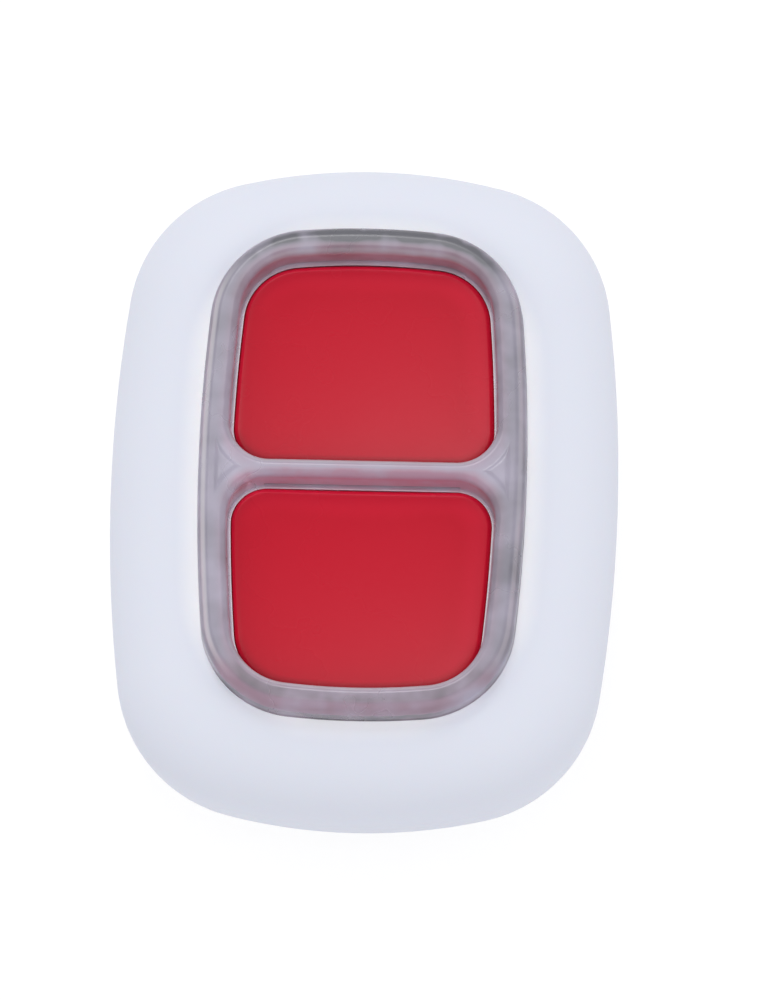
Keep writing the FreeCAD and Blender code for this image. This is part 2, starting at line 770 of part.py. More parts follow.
def make_key(side, turn):
    """Key with a dished top, a hollow underside, a switch stem and a flange on three sides."""
    key = new_body(f"{side}_button")
    brim = "key_top + dish_depth / 2"
    cap_sketch = new_sketch(key, f"{side}_cap_sketch", height=KEY_FOOT)
    key_outline(cap_sketch)
    cap = pad(key, f"{side}_cap", cap_sketch, f"{brim} - ({KEY_FOOT})")
    bevel_edges(key, f"{side}_bevel", cap, "key_edge", flat_at(brim))
    flange_sketch = new_sketch(key, f"{side}_flange_sketch", height=KEY_FOOT)
    key_outline(flange_sketch, "key_flange")
    pad(key, f"{side}_flange", flange_sketch, "key_flange_height")

    hollow_sketch = new_sketch(key, f"{side}_hollow_sketch", height=KEY_FOOT)
    key_outline(hollow_sketch, "-key_wall", "-key_wall", "-key_wall")
    pocket(key, f"{side}_hollow", hollow_sketch, f"key_top - key_wall - ({KEY_FOOT})")
    landing_sketch = new_sketch(key, f"{side}_landing_sketch", height=KEY_FOOT)
    circle_outline(landing_sketch, BOOT_HEAD, "0", KEY_MIDDLE)
    circle_outline(landing_sketch, f"{BOOT_HEAD} - boot_head_width", "0", KEY_MIDDLE)
    pad(key, f"{side}_landing", landing_sketch, f"key_top - key_wall / 2 - ({KEY_FOOT})")
    stem_foot = f"{PLUNGER_TOP} + touch_gap"
    stem_sketch = new_sketch(key, f"{side}_stem_sketch", height=stem_foot)
    circle_outline(stem_sketch, "stem_radius", "0", KEY_MIDDLE)
    pad(key, f"{side}_stem", stem_sketch, f"key_top - key_wall / 2 - ({stem_foot})")

    dish = key.newObject("PartDesign::SubtractiveSphere", f"{side}_dish")
    bind(dish, "Radius", "dish_radius")
    bind(dish, "AttachmentOffset.Base.y", KEY_MIDDLE)
    bind(dish, "AttachmentOffset.Base.z", "key_top - dish_depth + dish_radius")
    dish.AttachmentSupport = [(origin_plane(key, "XY_Plane"), "")]
    dish.MapMode = "FlatFace"

    key.Placement.Rotation = FreeCAD.Rotation(FreeCAD.Vector(0, 0, 1), turn)
    return key


def make_button_frame():
    """Inner frame between the board and the divider, with a cell for each key's flange."""
    frame = new_body("button_frame")
    outer = new_sketch(frame, "frame_sketch", height=BOARD_TOP)
    rounded_outline(outer, "divider", "-flange_width")
    pad(frame, "frame_block", outer, f"divider_foot - ({BOARD_TOP})")
    room = "key_flange + frame_gap"
    for key, turn in KEYS.items():
        cell = new_sketch(frame, f"{key}_room_sketch", height=BOARD_TOP, turn=turn)
        key_outline(cell, room, "key_gap", "key_gap")
        pocket(frame, f"{key}_room", cell, "divider_foot")
    wells = new_sketch(frame, "well_sketch", height=BOARD_TOP)
    for across in SIDES.values():
        circle_outline(wells, "leg_radius + well_gap", f"{across} * {LEG_ACROSS}")
    pocket(frame, "light_wells", wells, "divider_foot")
    return frame


def make_return_boot(side, turn):
    """Silicone boot: a sloping skirt that stands on the board, and a head under the key."""
    boot = new_body(f"{side}_return_boot")
    top = f"{KEY_FOOT} - touch_gap"
    sketch = new_sketch(boot, f"{side}_boot_sketch", role="XZ_Plane")
    inner = f"{BOOT_HEAD} - boot_head_width"
    polygon_outline(sketch, [
        (f"{BOOT_FOOT} - boot_web", BOARD_TOP), (BOOT_FOOT, BOARD_TOP),
        (BOOT_HEAD, f"{top} - boot_head_height"), (BOOT_HEAD, top),
        (inner, top), (inner, f"{top} - boot_head_height"),
    ])
    revolve(boot, "Revolution", f"{side}_boot_turn", sketch)
    place_on_key(boot, turn)
    return boot


def place_on_key(thing, turn):
    """Move a piece drawn about the Z axis to the middle of its key."""
    sign = "-" if turn else ""
    bind(thing, "Placement.Base.y", f"{sign}{KEY_MIDDLE}")


# The circuit board and what is soldered to it

def make_circuit_board():
    """Board with four screw holes."""
    board = new_body("circuit_board")
    sketch = new_sketch(board, "board_sketch", height="board_bottom")
    rounded_outline(sketch, "body", "board_inset")
    screw_circles(sketch, "screw_radius + screw_gap * 2")
    pad(board, "board", sketch, "board_thickness")
    return board


def make_board_screws():
    """Four pan-head screws that hold the board to the front shell."""
    screws = new_body("board_screws")
    screws.AllowCompound = True
    head_sketch = new_sketch(screws, "head_sketch", height="board_bottom")
    shank_sketch = new_sketch(screws, "shank_sketch", height="board_bottom")
    socket_sketch = new_sketch(screws, "socket_sketch", height="board_bottom - screw_head_height")
    screw_circles(head_sketch, "screw_head_radius")
    screw_circles(shank_sketch, "screw_radius")
    for across in SIDES.values():
        for along in (-1, 1):
            rectangle_outline(socket_sketch, "socket_width", "socket_width",
                              f"{across} * {SCREW_ACROSS}", f"{along} * {SCREW_ALONG}")
    pad(screws, "heads", head_sketch, "screw_head_height", reverse=True)
    pad(screws, "shanks", shank_sketch, "screw_length")
    pocket(screws, "sockets", socket_sketch, "socket_depth")
    return screws


def make_switch(side, turn):
    """Tactile switch: moulded base, sheet cover and round plunger."""
    base = new_body(f"{side}_switch_base")
    outline = new_sketch(base, f"{side}_base_sketch", height=BOARD_TOP)
    rectangle_outline(outline, "switch_width - 2 * cover_sheet", "switch_width")
    pad(base, f"{side}_base_block", outline, "switch_base_height")
    room = new_sketch(base, f"{side}_base_room", height=f"{BOARD_TOP} + switch_floor")
    circle_outline(room, "switch_width / 2 - switch_wall")
    pocket(base, f"{side}_base_cavity", room, "switch_base_height")

    cover = new_body(f"{side}_switch_cover")
    profile = new_sketch(cover, f"{side}_cover_sketch", role="XZ_Plane")
    outer = "switch_width / 2"
    inner = "switch_width / 2 - cover_sheet"
    skirt = f"{SWITCH_TOP} - cover_skirt"
    polygon_outline(profile, [
        (f"-{outer}", skirt), (f"-({inner})", skirt), (f"-({inner})", SWITCH_TOP),
        (inner, SWITCH_TOP), (inner, skirt), (outer, skirt),
        (outer, f"{SWITCH_TOP} + cover_sheet"), (f"-{outer}", f"{SWITCH_TOP} + cover_sheet"),
    ])
    pad(cover, f"{side}_cover_sheet", profile, "switch_width", midplane=True)
    opening = new_sketch(cover, f"{side}_cover_opening", height=SWITCH_TOP)
    circle_outline(opening, "plunger_radius + plunger_gap")
    pocket(cover, f"{side}_cover_hole", opening, "cover_sheet * 2")

    plunger = new_body(f"{side}_switch_plunger")
    post = new_sketch(plunger, f"{side}_post_sketch", height=PLUNGER_TOP)
    circle_outline(post, "plunger_radius")
    collar_top = f"{SWITCH_TOP} - touch_gap"
    pad(plunger, f"{side}_post", post, f"{PLUNGER_TOP} - ({collar_top}) + plunger_collar_height",
        reverse=True)
    collar = new_sketch(plunger, f"{side}_collar_sketch", height=collar_top)
    circle_outline(collar, "plunger_radius + plunger_collar")
    pad(plunger, f"{side}_collar", collar, "plunger_collar_height", reverse=True)
    for piece in (base, cover, plunger):
        place_on_key(piece, turn)
    return [base, cover, plunger]


def make_switch_terminals():
    """Eight flat feet, four to a switch, on the board beside the bases."""
    terminals = new_body("switch_terminals")
    terminals.AllowCompound = True
    sketch = new_sketch(terminals, "terminal_sketch", height=BOARD_TOP)
    pitch = "(switch_width / 2 - terminal_width)"
    for row in (-1, 1):
        for across in SIDES.values():
            for step in (-1, 1):
                rectangle_outline(
                    sketch, "terminal_reach", "terminal_width",
                    f"{across} * (switch_width + terminal_reach) / 2 - {across} * cover_sheet",
                    f"{row} * {KEY_MIDDLE} + {step} * {pitch}")
    pad(terminals, "terminal_feet", sketch, "terminal_sheet")
    return terminals


def make_block(label, width, length, height, across, along, hanging):
    """Rectangular part soldered under the board, or on top of it."""
    block = new_body(label)
    level = "board_bottom" if hanging else BOARD_TOP
    sketch = new_sketch(block, label + "_sketch", height=level)
    rectangle_outline(sketch, width, length, across, along)
    pad(block, label + "_block", sketch, height, reverse=hanging)
    return block


def make_capacitors():
    """Row of chip capacitors under the board, beyond the coin cell."""
    capacitors = new_body("chip_capacitors")
    capacitors.AllowCompound = True
    sketch = new_sketch(capacitors, "capacitor_sketch", height="board_bottom")
    along = "capacitor_inset - body_length / 2"
    for step in (-2, -1, 0, 1, 2):
        rectangle_outline(sketch, "capacitor_length", "capacitor_width",
                          f"{step} * capacitor_pitch", along)
    pad(capacitors, "capacitor_blocks", sketch, "capacitor_height", reverse=True)
    return capacitors


def make_antenna():
    """Sheet antenna: a long strip hung under the board on two legs."""
    antenna = new_body("antenna")
    profile = new_sketch(antenna, "antenna_sketch", role="XZ_Plane")
    top = "board_bottom"
    lower = "board_bottom - antenna_height"
    half = "(body_width / 2 - antenna_side_inset)"
    inner = f"{half} - antenna_foot"
    strip = f"{lower} + antenna_strip"
    polygon_outline(profile, [
        (f"-{half}", lower), (half, lower), (half, top), (inner, top), (inner, strip),
        (f"-({inner})", strip), (f"-({inner})", top), (f"-{half}", top),
    ])
    pad(antenna, "antenna_strip", profile, "antenna_sheet", midplane=True)
    bind(antenna, "Placement.Base.y", "antenna_end_inset - body_length / 2")
    return antenna


def make_coin_cell():
    """Lithium coin cell, with its can to the back and its cap to the board."""
    cell = new_body("coin_cell")
    profile = new_sketch(cell, "cell_sketch", role="XZ_Plane")
    bottom = "rear_floor + clip_sheet"
    shoulder = f"{bottom} + cell_height - cell_cap_height"
    polygon_outline(profile, [
        ("0", bottom), (f"{CELL_RADIUS} - cell_edge_radius", bottom),
        (CELL_RADIUS, f"{bottom} + cell_edge_radius"), (CELL_RADIUS, shoulder),
        (f"{CELL_RADIUS} - cell_cap_inset", shoulder),
        (f"{CELL_RADIUS} - cell_cap_inset - cell_cap_edge", f"{bottom} + cell_height"),
        ("0", f"{bottom} + cell_height"),
    ])
    revolve(cell, "Revolution", "cell_turn", profile)
    bind(cell, "Placement.Base.y", "cell_centre")
    return cell


def make_battery_clip():
    """Spring-steel strap under the coin cell, with legs up to the board."""
    clip = new_body("positive_battery_clip")
    profile = new_sketch(clip, "clip_sketch", role="XZ_Plane")
    inner = f"{CELL_RADIUS} + clip_gap"
    outer = f"{CELL_RADIUS} + clip_gap + clip_sheet"
    foot = f"{CELL_RADIUS} + clip_gap + clip_foot"
    floor = "rear_floor"
    points = [(foot, "board_bottom"), (inner, "board_bottom"), (inner, f"{floor} + clip_sheet")]
    under = [(outer, floor), (outer, "board_bottom - clip_sheet"),
             (foot, "board_bottom - clip_sheet")]
    left = [(f"-({x})", z) for x, z in reversed(points)]
    left_under = [(f"-({x})", z) for x, z in reversed(under)]
    polygon_outline(profile, points + left + left_under + under)
    pad(clip, "clip_strap", profile, "clip_width", midplane=True)
    window = new_sketch(clip, "clip_window_sketch", height="0")
    rectangle_outline(window, CELL_RADIUS, "clip_window")
    pocket(clip, "clip_opening", window, "rear_floor + cell_height")
    bind(clip, "Placement.Base.y", "cell_centre")
    return clip


def make_battery_contact():
    """Leaf under the board that presses on the cell's cap."""
    contact = new_body("negative_battery_contact")
    profile = new_sketch(contact, "contact_sketch", role="XZ_Plane")
    cap = "rear_floor + clip_sheet + cell_height"
    half = "contact_length / 2"
    foot = "contact_length / 2 - contact_foot"
    touch = "contact_touch / 2"
    polygon_outline(profile, [
        (f"-{half}", "board_bottom"), (f"-({foot})", "board_bottom"),
        (f"-{touch}", f"{cap} + contact_sheet"), (touch, f"{cap} + contact_sheet"),
        (foot, "board_bottom"), (half, "board_bottom"),
        (half, "board_bottom - contact_sheet"), (foot, "board_bottom - contact_sheet"),
        (touch, cap), (f"-{touch}", cap), (f"-({foot})", "board_bottom - contact_sheet"),
        (f"-{half}", "board_bottom - contact_sheet"),
    ])
    pad(contact, "contact_leaf", profile, "contact_width", midplane=True)
    bind(contact, "Placement.Base.y", "cell_centre")
    return contact


def make_all():
    """Every sub-part, in the order it is put together."""
    front_half, rear_half = make_housing_halves()
    pieces = [make_front_housing(front_half), make_rear_housing(rear_half), make_housing_seal(),
              make_divider(), make_button_frame(), make_circuit_board(), make_board_screws()]
    for side, turn in KEYS.items():
        pieces.append(make_key(side, turn))
        pieces.append(make_return_boot(side, turn))
        pieces += make_switch(side, turn)
    pieces.append(make_switch_terminals())
    pieces.append(make_block("radio_chip", "chip_width", "chip_width", "chip_height",
                             "chip_side_inset - body_width / 2",
                             "body_length / 2 - chip_end_inset", True))
    pieces.append(make_block("clock_crystal", "crystal_length", "crystal_width",
                             "crystal_height", "body_width / 2 - crystal_side_inset",
                             "body_length / 2 - crystal_end_inset", True))
    for side, across in SIDES.items():
        pieces.append(make_block(f"{side}_indicator", "lamp_length", "lamp_width",
                                 "lamp_height", f"{across} * {LEG_ACROSS}", "0", False))
    pieces += [make_capacitors(), make_antenna(), make_coin_cell(), make_battery_clip(),
               make_battery_contact()]
    return pieces


def check_document(pieces):
    """Stop if any object failed, or a sub-part has no sound shape."""
    doc.recompute()
    for item in doc.Objects:
        if "Invalid" in item.State or "Error" in item.State:
            raise RuntimeError(f"{item.Name} failed: {item.State}")
    for piece in pieces:
        if piece.Shape.isNull() or not piece.Shape.isValid() or not piece.Shape.Solids:
            raise RuntimeError(f"{piece.Label} has no sound shape")


pieces = make_all()
check_document(pieces)
os.makedirs("parts", exist_ok=True)
for piece in pieces:
    piece.Shape.exportStep(os.path.join("parts", piece.Label + ".step"))
    print(f"{piece.Label}: {piece.Shape.Volume:.1f} mm3, {len(piece.Shape.Solids)} solid")
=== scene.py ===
import json
import math
import bmesh
import bpy
import numpy as np
from mathutils import Matrix, Vector


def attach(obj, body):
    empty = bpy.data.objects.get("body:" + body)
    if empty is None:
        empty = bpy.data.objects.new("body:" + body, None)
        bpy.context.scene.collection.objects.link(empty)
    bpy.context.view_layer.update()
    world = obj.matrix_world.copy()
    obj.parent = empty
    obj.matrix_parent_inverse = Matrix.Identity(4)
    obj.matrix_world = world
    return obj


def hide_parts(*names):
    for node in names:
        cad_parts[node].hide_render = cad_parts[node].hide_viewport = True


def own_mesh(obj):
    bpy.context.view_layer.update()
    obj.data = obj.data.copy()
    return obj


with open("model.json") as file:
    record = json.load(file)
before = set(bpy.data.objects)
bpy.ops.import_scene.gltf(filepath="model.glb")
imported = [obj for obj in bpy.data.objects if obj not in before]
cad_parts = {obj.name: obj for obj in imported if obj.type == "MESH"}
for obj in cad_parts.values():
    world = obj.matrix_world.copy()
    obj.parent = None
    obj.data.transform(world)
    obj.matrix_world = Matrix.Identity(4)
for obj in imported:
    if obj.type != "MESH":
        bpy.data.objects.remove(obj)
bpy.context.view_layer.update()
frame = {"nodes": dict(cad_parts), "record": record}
nodes = frame["nodes"]
scene = bpy.context.scene
mm = 0.001  # shapes are worked out in millimetres
sharpAngle = math.radians(35.0)  # edges that turn more than this stay sharp


def addObject(name, data):
    thing = bpy.data.objects.new(name, data)
    scene.collection.objects.link(thing)
    return thing


# Camera

view = {
    "azimuth": 1.63, "tilt": 16.73, "roll": 1.70,  # degrees, read off the outline in the photograph
    "distance": 1200.0, "pixelsPerMm": 14.495,
    "target": (0.0, 0.0, 8.0), "targetPixel": (364.4, 501.4),
    "imageWidth": 771, "imageHeight": 1000, "sensor": 36.0,
    "nearest": 0.05, "farthest": 20.0,  # metres
}


def makeCamera():
    # looks down on the target, tilted towards the near end, then rolled about its own axis
    azimuth, tilt, roll = (math.radians(view[key]) for key in ("azimuth", "tilt", "roll"))
    back = Vector((math.sin(azimuth), -math.sin(tilt) * math.cos(azimuth),
                   math.cos(tilt) * math.cos(azimuth))).normalized()
    across = Vector((0, 1, 0)).cross(back).normalized()
    rise = back.cross(across)
    right = across * math.cos(roll) + rise * math.sin(roll)
    up = rise * math.cos(roll) - across * math.sin(roll)
    offRight = (view["imageWidth"] / 2 - view["targetPixel"][0]) / view["pixelsPerMm"]
    offUp = (view["targetPixel"][1] - view["imageHeight"] / 2) / view["pixelsPerMm"]
    place = Vector(view["target"]) + back * view["distance"] + right * offRight + up * offUp
    data = bpy.data.cameras.new("photoCamera")
    data.sensor_width = view["sensor"]
    data.lens = view["pixelsPerMm"] * view["distance"] * view["sensor"] / view["imageHeight"]
    data.clip_start, data.clip_end = view["nearest"], view["farthest"]
    camera = addObject("photoCamera", data)
    camera.matrix_world = Matrix.Translation(place * mm) @ Matrix((right, up, back)).transposed().to_4x4()
    scene.camera = camera


# Meshes from grids

def gridFaces(rows, columns, closed=True):
    # quads between neighbouring grid points, as one array of four corners each; in a closed grid the last
    # column is joined to the first
    down = np.arange(rows - 1)
    along = np.arange(columns if closed else columns - 1)
    row, column = np.meshgrid(down, along, indexing="ij")
    here, below, nextColumn = row * columns, (row + 1) * columns, (column + 1) % columns
    corners = (here + column, here + nextColumn, below + nextColumn, below + column)
    return np.stack(corners, -1).reshape(-1, 4)


def level(points, height):
    # flat points lifted to a height
    return np.concatenate((points, np.full((*points.shape[:-1], 1), height)), -1)


def unmarked(grid, count):
    # a grid whose marks are all zero
    return np.concatenate((grid, np.zeros((*grid.shape[:-1], count))), -1)


def turnedForm(profile, centre, count=48):
    # a profile of radius and height, turned about an upright line
    angle = np.linspace(0, 2 * math.pi, count, endpoint=False)
    radius, height = np.array(profile, float).T[:, :, None]
    x, y = centre[0] + radius * np.cos(angle), centre[1] + radius * np.sin(angle)
    grid = np.stack((x, y, height + 0 * angle), -1)
    return grid, gridFaces(*grid.shape[:2])


def meshPiece(name, parts, body, replaced, slot, marks=(), weld=0.002):
    # parts are pairs of points, in millimetres, and faces; columns after x, y and z are kept as the
    # attributes that marks names; points nearer than weld are merged, as where two parts meet
    start, points, faces = 0, [], []
    for grid, corners in parts:
        flat = grid.reshape(-1, 3 + len(marks))
        points.append(flat)
        faces.append(corners + start)
        start += len(flat)
    points = np.concatenate(points)
    mesh = bpy.data.meshes.new(name)
    mesh.from_pydata((points[:, :3] * mm).tolist(), [], np.concatenate(faces).tolist())
    for column, mark in enumerate(marks):
        layer = mesh.attributes.new(mark, "FLOAT", "POINT")
        layer.data.foreach_set("value", np.ascontiguousarray(points[:, 3 + column], np.float32))
    piece = addObject(name, mesh)
    work = bmesh.new()
    work.from_mesh(mesh)
    bmesh.ops.remove_doubles(work, verts=work.verts, dist=weld * mm)
    bmesh.ops.dissolve_degenerate(work, edges=work.edges, dist=weld * mm / 4)
    bmesh.ops.recalc_face_normals(work, faces=work.faces)
    work.to_mesh(mesh)
    work.free()
    mesh.shade_smooth()
    mesh.set_sharp_from_angle(angle=sharpAngle)
    mesh.materials.append(materials[slot])
    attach(piece, body)
    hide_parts(replaced)
    return piece


# Outlines: closed runs of tangent arcs, as points and outward normals

def arcRun(centre, radius, start, finish, count):
    angle = np.linspace(start, finish, count, endpoint=False)
    normal = np.stack((np.cos(angle), np.sin(angle)), -1)
    return np.array(centre) + radius * normal, normal


def lineRun(start, finish, normal, count):
    share = np.linspace(0, 1, count, endpoint=False)[:, None]
    points = (1 - share) * np.array(start) + share * np.array(finish)
    return points, np.tile(np.array(normal, float), (count, 1))


def joinRuns(runs):
    return np.concatenate([run[0] for run in runs]), np.concatenate([run[1] for run in runs])


def cornerCentre(sideX, side, endY, end, corner):
    # centre of the corner arc that touches a side arc about (-sideX, 0) and an end arc about (0, -endY)
    reachSide, reachEnd = side - corner, end - corner
    apart = math.hypot(sideX, endY)
    along = (reachSide ** 2 - reachEnd ** 2 + apart ** 2) / (2 * apart)
    across = math.sqrt(reachSide ** 2 - along ** 2)
    unitX, unitY = sideX / apart, -endY / apart
    return -sideX + along * unitX - across * unitY, along * unitY + across * unitX


def outlineArcs(shape):
    # side arc about (-sideX, 0), end arc about (0, -endY) and corner arc about (cornerX, cornerY), which
    # meets the other two at the angles low and high
    sideX, endY = shape["side"] - shape["width"] / 2, shape["end"] - shape["length"] / 2
    cornerX, cornerY = cornerCentre(sideX, shape["side"], endY, shape["end"], shape["corner"])
    low = math.atan2(cornerY, cornerX + sideX)
    high = math.atan2(cornerY + endY, cornerX)
    return sideX, endY, cornerX, cornerY, low, high


def depthInside(shape, x, y):
    # how far a point lies inside the eight-arc outline: the distance to whichever arc faces it
    sideX, endY, cornerX, cornerY, low, high = outlineArcs(shape)
    x, y = np.abs(x), np.abs(y)
    facing = np.arctan2(y - cornerY, x - cornerX)
    toSide = shape["side"] - np.hypot(x + sideX, y)
    toEnd = shape["end"] - np.hypot(x, y + endY)
    toCorner = shape["corner"] - np.hypot(x - cornerX, y - cornerY)
    inner = np.minimum(toSide, toEnd)
    return np.where((facing > low) & (facing < high), toCorner, inner)


def rayLength(points, normals, shape, longest, steps=40):
    # length along each normal at which the ray leaves the outline, by halving
    near, far = np.zeros(len(points)), np.full(len(points), longest)
    for _ in range(steps):
        middle = (near + far) / 2
        place = points + middle[:, None] * normals
        inside = depthInside(shape, place[:, 0], place[:, 1]) > 0
        near, far = np.where(inside, middle, near), np.where(inside, far, middle)
    return (near + far) / 2


# Shapes shared with the solids, in millimetres

dividerShape = {"width": 22.5, "length": 34.9, "side": 119.5, "end": 48.8, "corner": 6.75}
windowShape = {"width": 22.6, "length": 35.0, "side": 119.55, "end": 48.85, "corner": 6.8}
cellShape = {
    "halfWidth": 9.23, "innerEdge": 0.65, "outerEnd": 15.55, "side": 125.15, "end": 45.15,
    "outerCorner": 4.25, "innerCorner": 2.75,
}
keyShape = {
    "halfWidth": 9.08, "innerEdge": 0.8, "outerEnd": 15.4, "side": 125.0, "end": 45.0,
    "outerCorner": 4.1, "innerCorner": 2.6,
}


def cellOutline(shape, counts, split=None):
    # outline of the upper cell or key: straight inner edge, curved sides and end; split parts the inner
    # corner arcs at the ray that reaches the rim where the bar's middle line does; counts are the points
    # on the straight edge and on each inner corner, side, outer corner and end
    sideX, endY = shape["side"] - shape["halfWidth"], shape["end"] - shape["outerEnd"]
    outerX, outerY = cornerCentre(sideX, shape["side"], endY, shape["end"], shape["outerCorner"])
    inner = shape["innerCorner"]
    lowY = shape["innerEdge"] + inner
    lowX = math.sqrt((shape["side"] - inner) ** 2 - lowY ** 2) - sideX
    low = math.atan2(lowY, lowX + sideX)
    middle = math.atan2(outerY, outerX + sideX)
    high = math.atan2(outerY + endY, outerX)
    half = math.pi
    cut = math.atan2(-lowY, split - lowX) if split else -half / 4
    line, corner, side, outer, end = counts
    runs = [
        arcRun((lowX, lowY), inner, cut, low, corner),
        arcRun((-sideX, 0), shape["side"], low, middle, side),
        arcRun((outerX, outerY), shape["outerCorner"], middle, high, outer),
        arcRun((0, -endY), shape["end"], high, half - high, end),
        arcRun((-outerX, outerY), shape["outerCorner"], half - high, half - middle, outer),
        arcRun((sideX, 0), shape["side"], half - middle, half - low, side),
        arcRun((-lowX, lowY), inner, half - low, half - cut, corner),
        arcRun((-lowX, lowY), inner, half - cut, half * 1.5, corner),
        lineRun((-lowX, shape["innerEdge"]), (lowX, shape["innerEdge"]), (0, -1), line),
        arcRun((lowX, lowY), inner, -half / 2, cut, corner),
    ]
    points, normals = joinRuns(runs)
    # the points whose rays reach the rim come before the first ray to the bar
    rimCount = 2 * corner + 2 * side + 2 * outer + end
    return points, normals, rimCount


# Materials

def setSocket(socket, value):
    # numbers go in as they are, and colours with a full alpha
    socket.default_value = value if isinstance(value, float) else (*value, 1)


def setSockets(sockets, values):
    for label, value in values.items():
        setSocket(sockets[label], value)


def newGroup(name, inputs, colours, numbers=()):
    # inputs are names with starting values; colours and numbers are the names of what the group puts out
    group = bpy.data.node_groups.new(name, "ShaderNodeTree")
    for label, value in inputs.items():
        kind = "NodeSocketFloat" if isinstance(value, float) else "NodeSocketColor"
        setSocket(group.interface.new_socket(name=label, in_out="INPUT", socket_type=kind), value)
    for kind, labels in (("NodeSocketColor", colours), ("NodeSocketFloat", numbers)):
        for label in labels:
            group.interface.new_socket(name=label, in_out="OUTPUT", socket_type=kind)
    start, finish = group.nodes.new("NodeGroupInput"), group.nodes.new("NodeGroupOutput")
    return group, start.outputs, finish.inputs


def objectPlace(tree):
    # coordinates in the piece's own frame
    return tree.nodes.new("ShaderNodeTexCoord").outputs["Object"]


def placeNoise(tree, coordinates, scale, detail=2.0, roughness=0.5):
    noise = tree.nodes.new("ShaderNodeTexNoise")
    setSockets(noise.inputs, {"Detail": detail, "Roughness": roughness})
    if isinstance(scale, float):
        setSocket(noise.inputs["Scale"], scale)
    else:
        tree.links.new(scale, noise.inputs["Scale"])
    tree.links.new(coordinates, noise.inputs["Vector"])
    return noise.outputs["Fac"]


def mathNode(tree, kind, *values):
    node = tree.nodes.new("ShaderNodeMath")
    node.operation = kind
    for index, value in enumerate(values):
        if isinstance(value, float):
            node.inputs[index].default_value = value
        else:
            tree.links.new(value, node.inputs[index])
    return node.outputs[0]


def product(tree, first, *others):
    for value in others:
        first = mathNode(tree, "MULTIPLY", first, value)
    return first


def mixColour(tree, factor, first, second):
    node = tree.nodes.new("ShaderNodeMix")
    node.data_type = "RGBA"
    for label, value in (("Factor", factor), ("A", first), ("B", second)):
        if isinstance(value, tuple):
            setSocket(node.inputs[label], value)
        else:
            tree.links.new(value, node.inputs[label])
    return node.outputs["Result"]


def mixShaders(tree, share, first, second, finish):
    # share is how much of the second shader shows at the surface
    choose = tree.nodes.new("ShaderNodeMixShader")
    for index, source in enumerate((share, first.outputs[0], second.outputs[0])):
        tree.links.new(source, choose.inputs[index])
    tree.links.new(choose.outputs[0], tree.nodes[finish].inputs["Surface"])


skinDetail = {
    "grainDetail": 3.0, "grainRoughness": 0.6, "driftDetail": 3.0, "driftRoughness": 0.55,
    "speckScale": 0.45, "speckSize": 0.09, "speckCut": 0.985, "speckColour": (0.9, 0.85, 0.85),
}


def makeMouldedGroup():
    # moulded skin: fine grain for the bump, slow drift of shade and of polish, and rare pale specks
    detail = skinDetail
    group, given, result = newGroup("mouldedSkin", {
        "Colour": (0.8, 0.8, 0.8), "Drift Colour": (0.7, 0.7, 0.7), "Drift": 0.2, "Roughness": 0.4,
        "Polish": 0.1, "Grain Scale": 4000.0, "Drift Scale": 120.0, "Specks": 0.0,
    }, ["Colour"], ["Roughness", "Height"])
    place = objectPlace(group)
    grain = placeNoise(group, place, given["Grain Scale"], detail["grainDetail"], detail["grainRoughness"])
    slow = placeNoise(group, place, given["Drift Scale"], detail["driftDetail"], detail["driftRoughness"])

    cells = group.nodes.new("ShaderNodeTexVoronoi")
    group.links.new(place, cells.inputs["Vector"])
    group.links.new(product(group, given["Grain Scale"], detail["speckScale"]), cells.inputs["Scale"])
    dot = group.nodes.new("ShaderNodeMapRange")
    group.links.new(cells.outputs["Distance"], dot.inputs["Value"])
    setSockets(dot.inputs, {"From Min": 0.0, "From Max": detail["speckSize"], "To Min": 1.0, "To Max": 0.0})
    split = group.nodes.new("ShaderNodeSeparateColor")
    group.links.new(cells.outputs["Color"], split.inputs["Color"])
    chosen = mathNode(group, "GREATER_THAN", split.outputs[0], detail["speckCut"])
    speck = product(group, dot.outputs[0], chosen, given["Specks"])

    drifted = mixColour(group, product(group, slow, given["Drift"]), given["Colour"], given["Drift Colour"])
    polish = product(group, mathNode(group, "SUBTRACT", slow, 0.5), given["Polish"])
    group.links.new(mixColour(group, speck, drifted, detail["speckColour"]), result["Colour"])
    group.links.new(mathNode(group, "ADD", given["Roughness"], polish), result["Roughness"])
    group.links.new(grain, result["Height"])
    return group


sheetDetail = {
    "stretch": (0.06, 4.0, 1.0), "detail": 4.0, "roughness": 0.6, "cloudScale": 260.0, "scratchDulls": 0.18,
}


def makeRolledGroup():
    # rolled or plated sheet: long fine scratches along one way, with cloudy tarnish
    detail = sheetDetail
    group, given, result = newGroup("rolledSheet", {
        "Colour": (0.7, 0.7, 0.72), "Tarnish Colour": (0.5, 0.48, 0.45), "Tarnish": 0.3, "Roughness": 0.3,
        "Scratch Scale": 900.0,
    }, ["Colour"], ["Roughness", "Height"])
    place = objectPlace(group)
    stretch = group.nodes.new("ShaderNodeMapping")
    stretch.inputs["Scale"].default_value = detail["stretch"]
    group.links.new(place, stretch.inputs["Vector"])
    fineness = (detail["detail"], detail["roughness"])
    scratches = placeNoise(group, stretch.outputs[0], given["Scratch Scale"], *fineness)
    clouds = product(group, placeNoise(group, place, detail["cloudScale"], *fineness), given["Tarnish"])
    rough = mathNode(group, "MULTIPLY_ADD", scratches, detail["scratchDulls"], given["Roughness"])
    group.links.new(mixColour(group, clouds, given["Colour"], given["Tarnish Colour"]), result["Colour"])
    group.links.new(rough, result["Roughness"])
    group.links.new(scratches, result["Height"])
    return group


# patches in the painted reflection and in the painted shade
patchDetail = {"contrast": 4.0, "shift": -1.0, "least": 0.1}


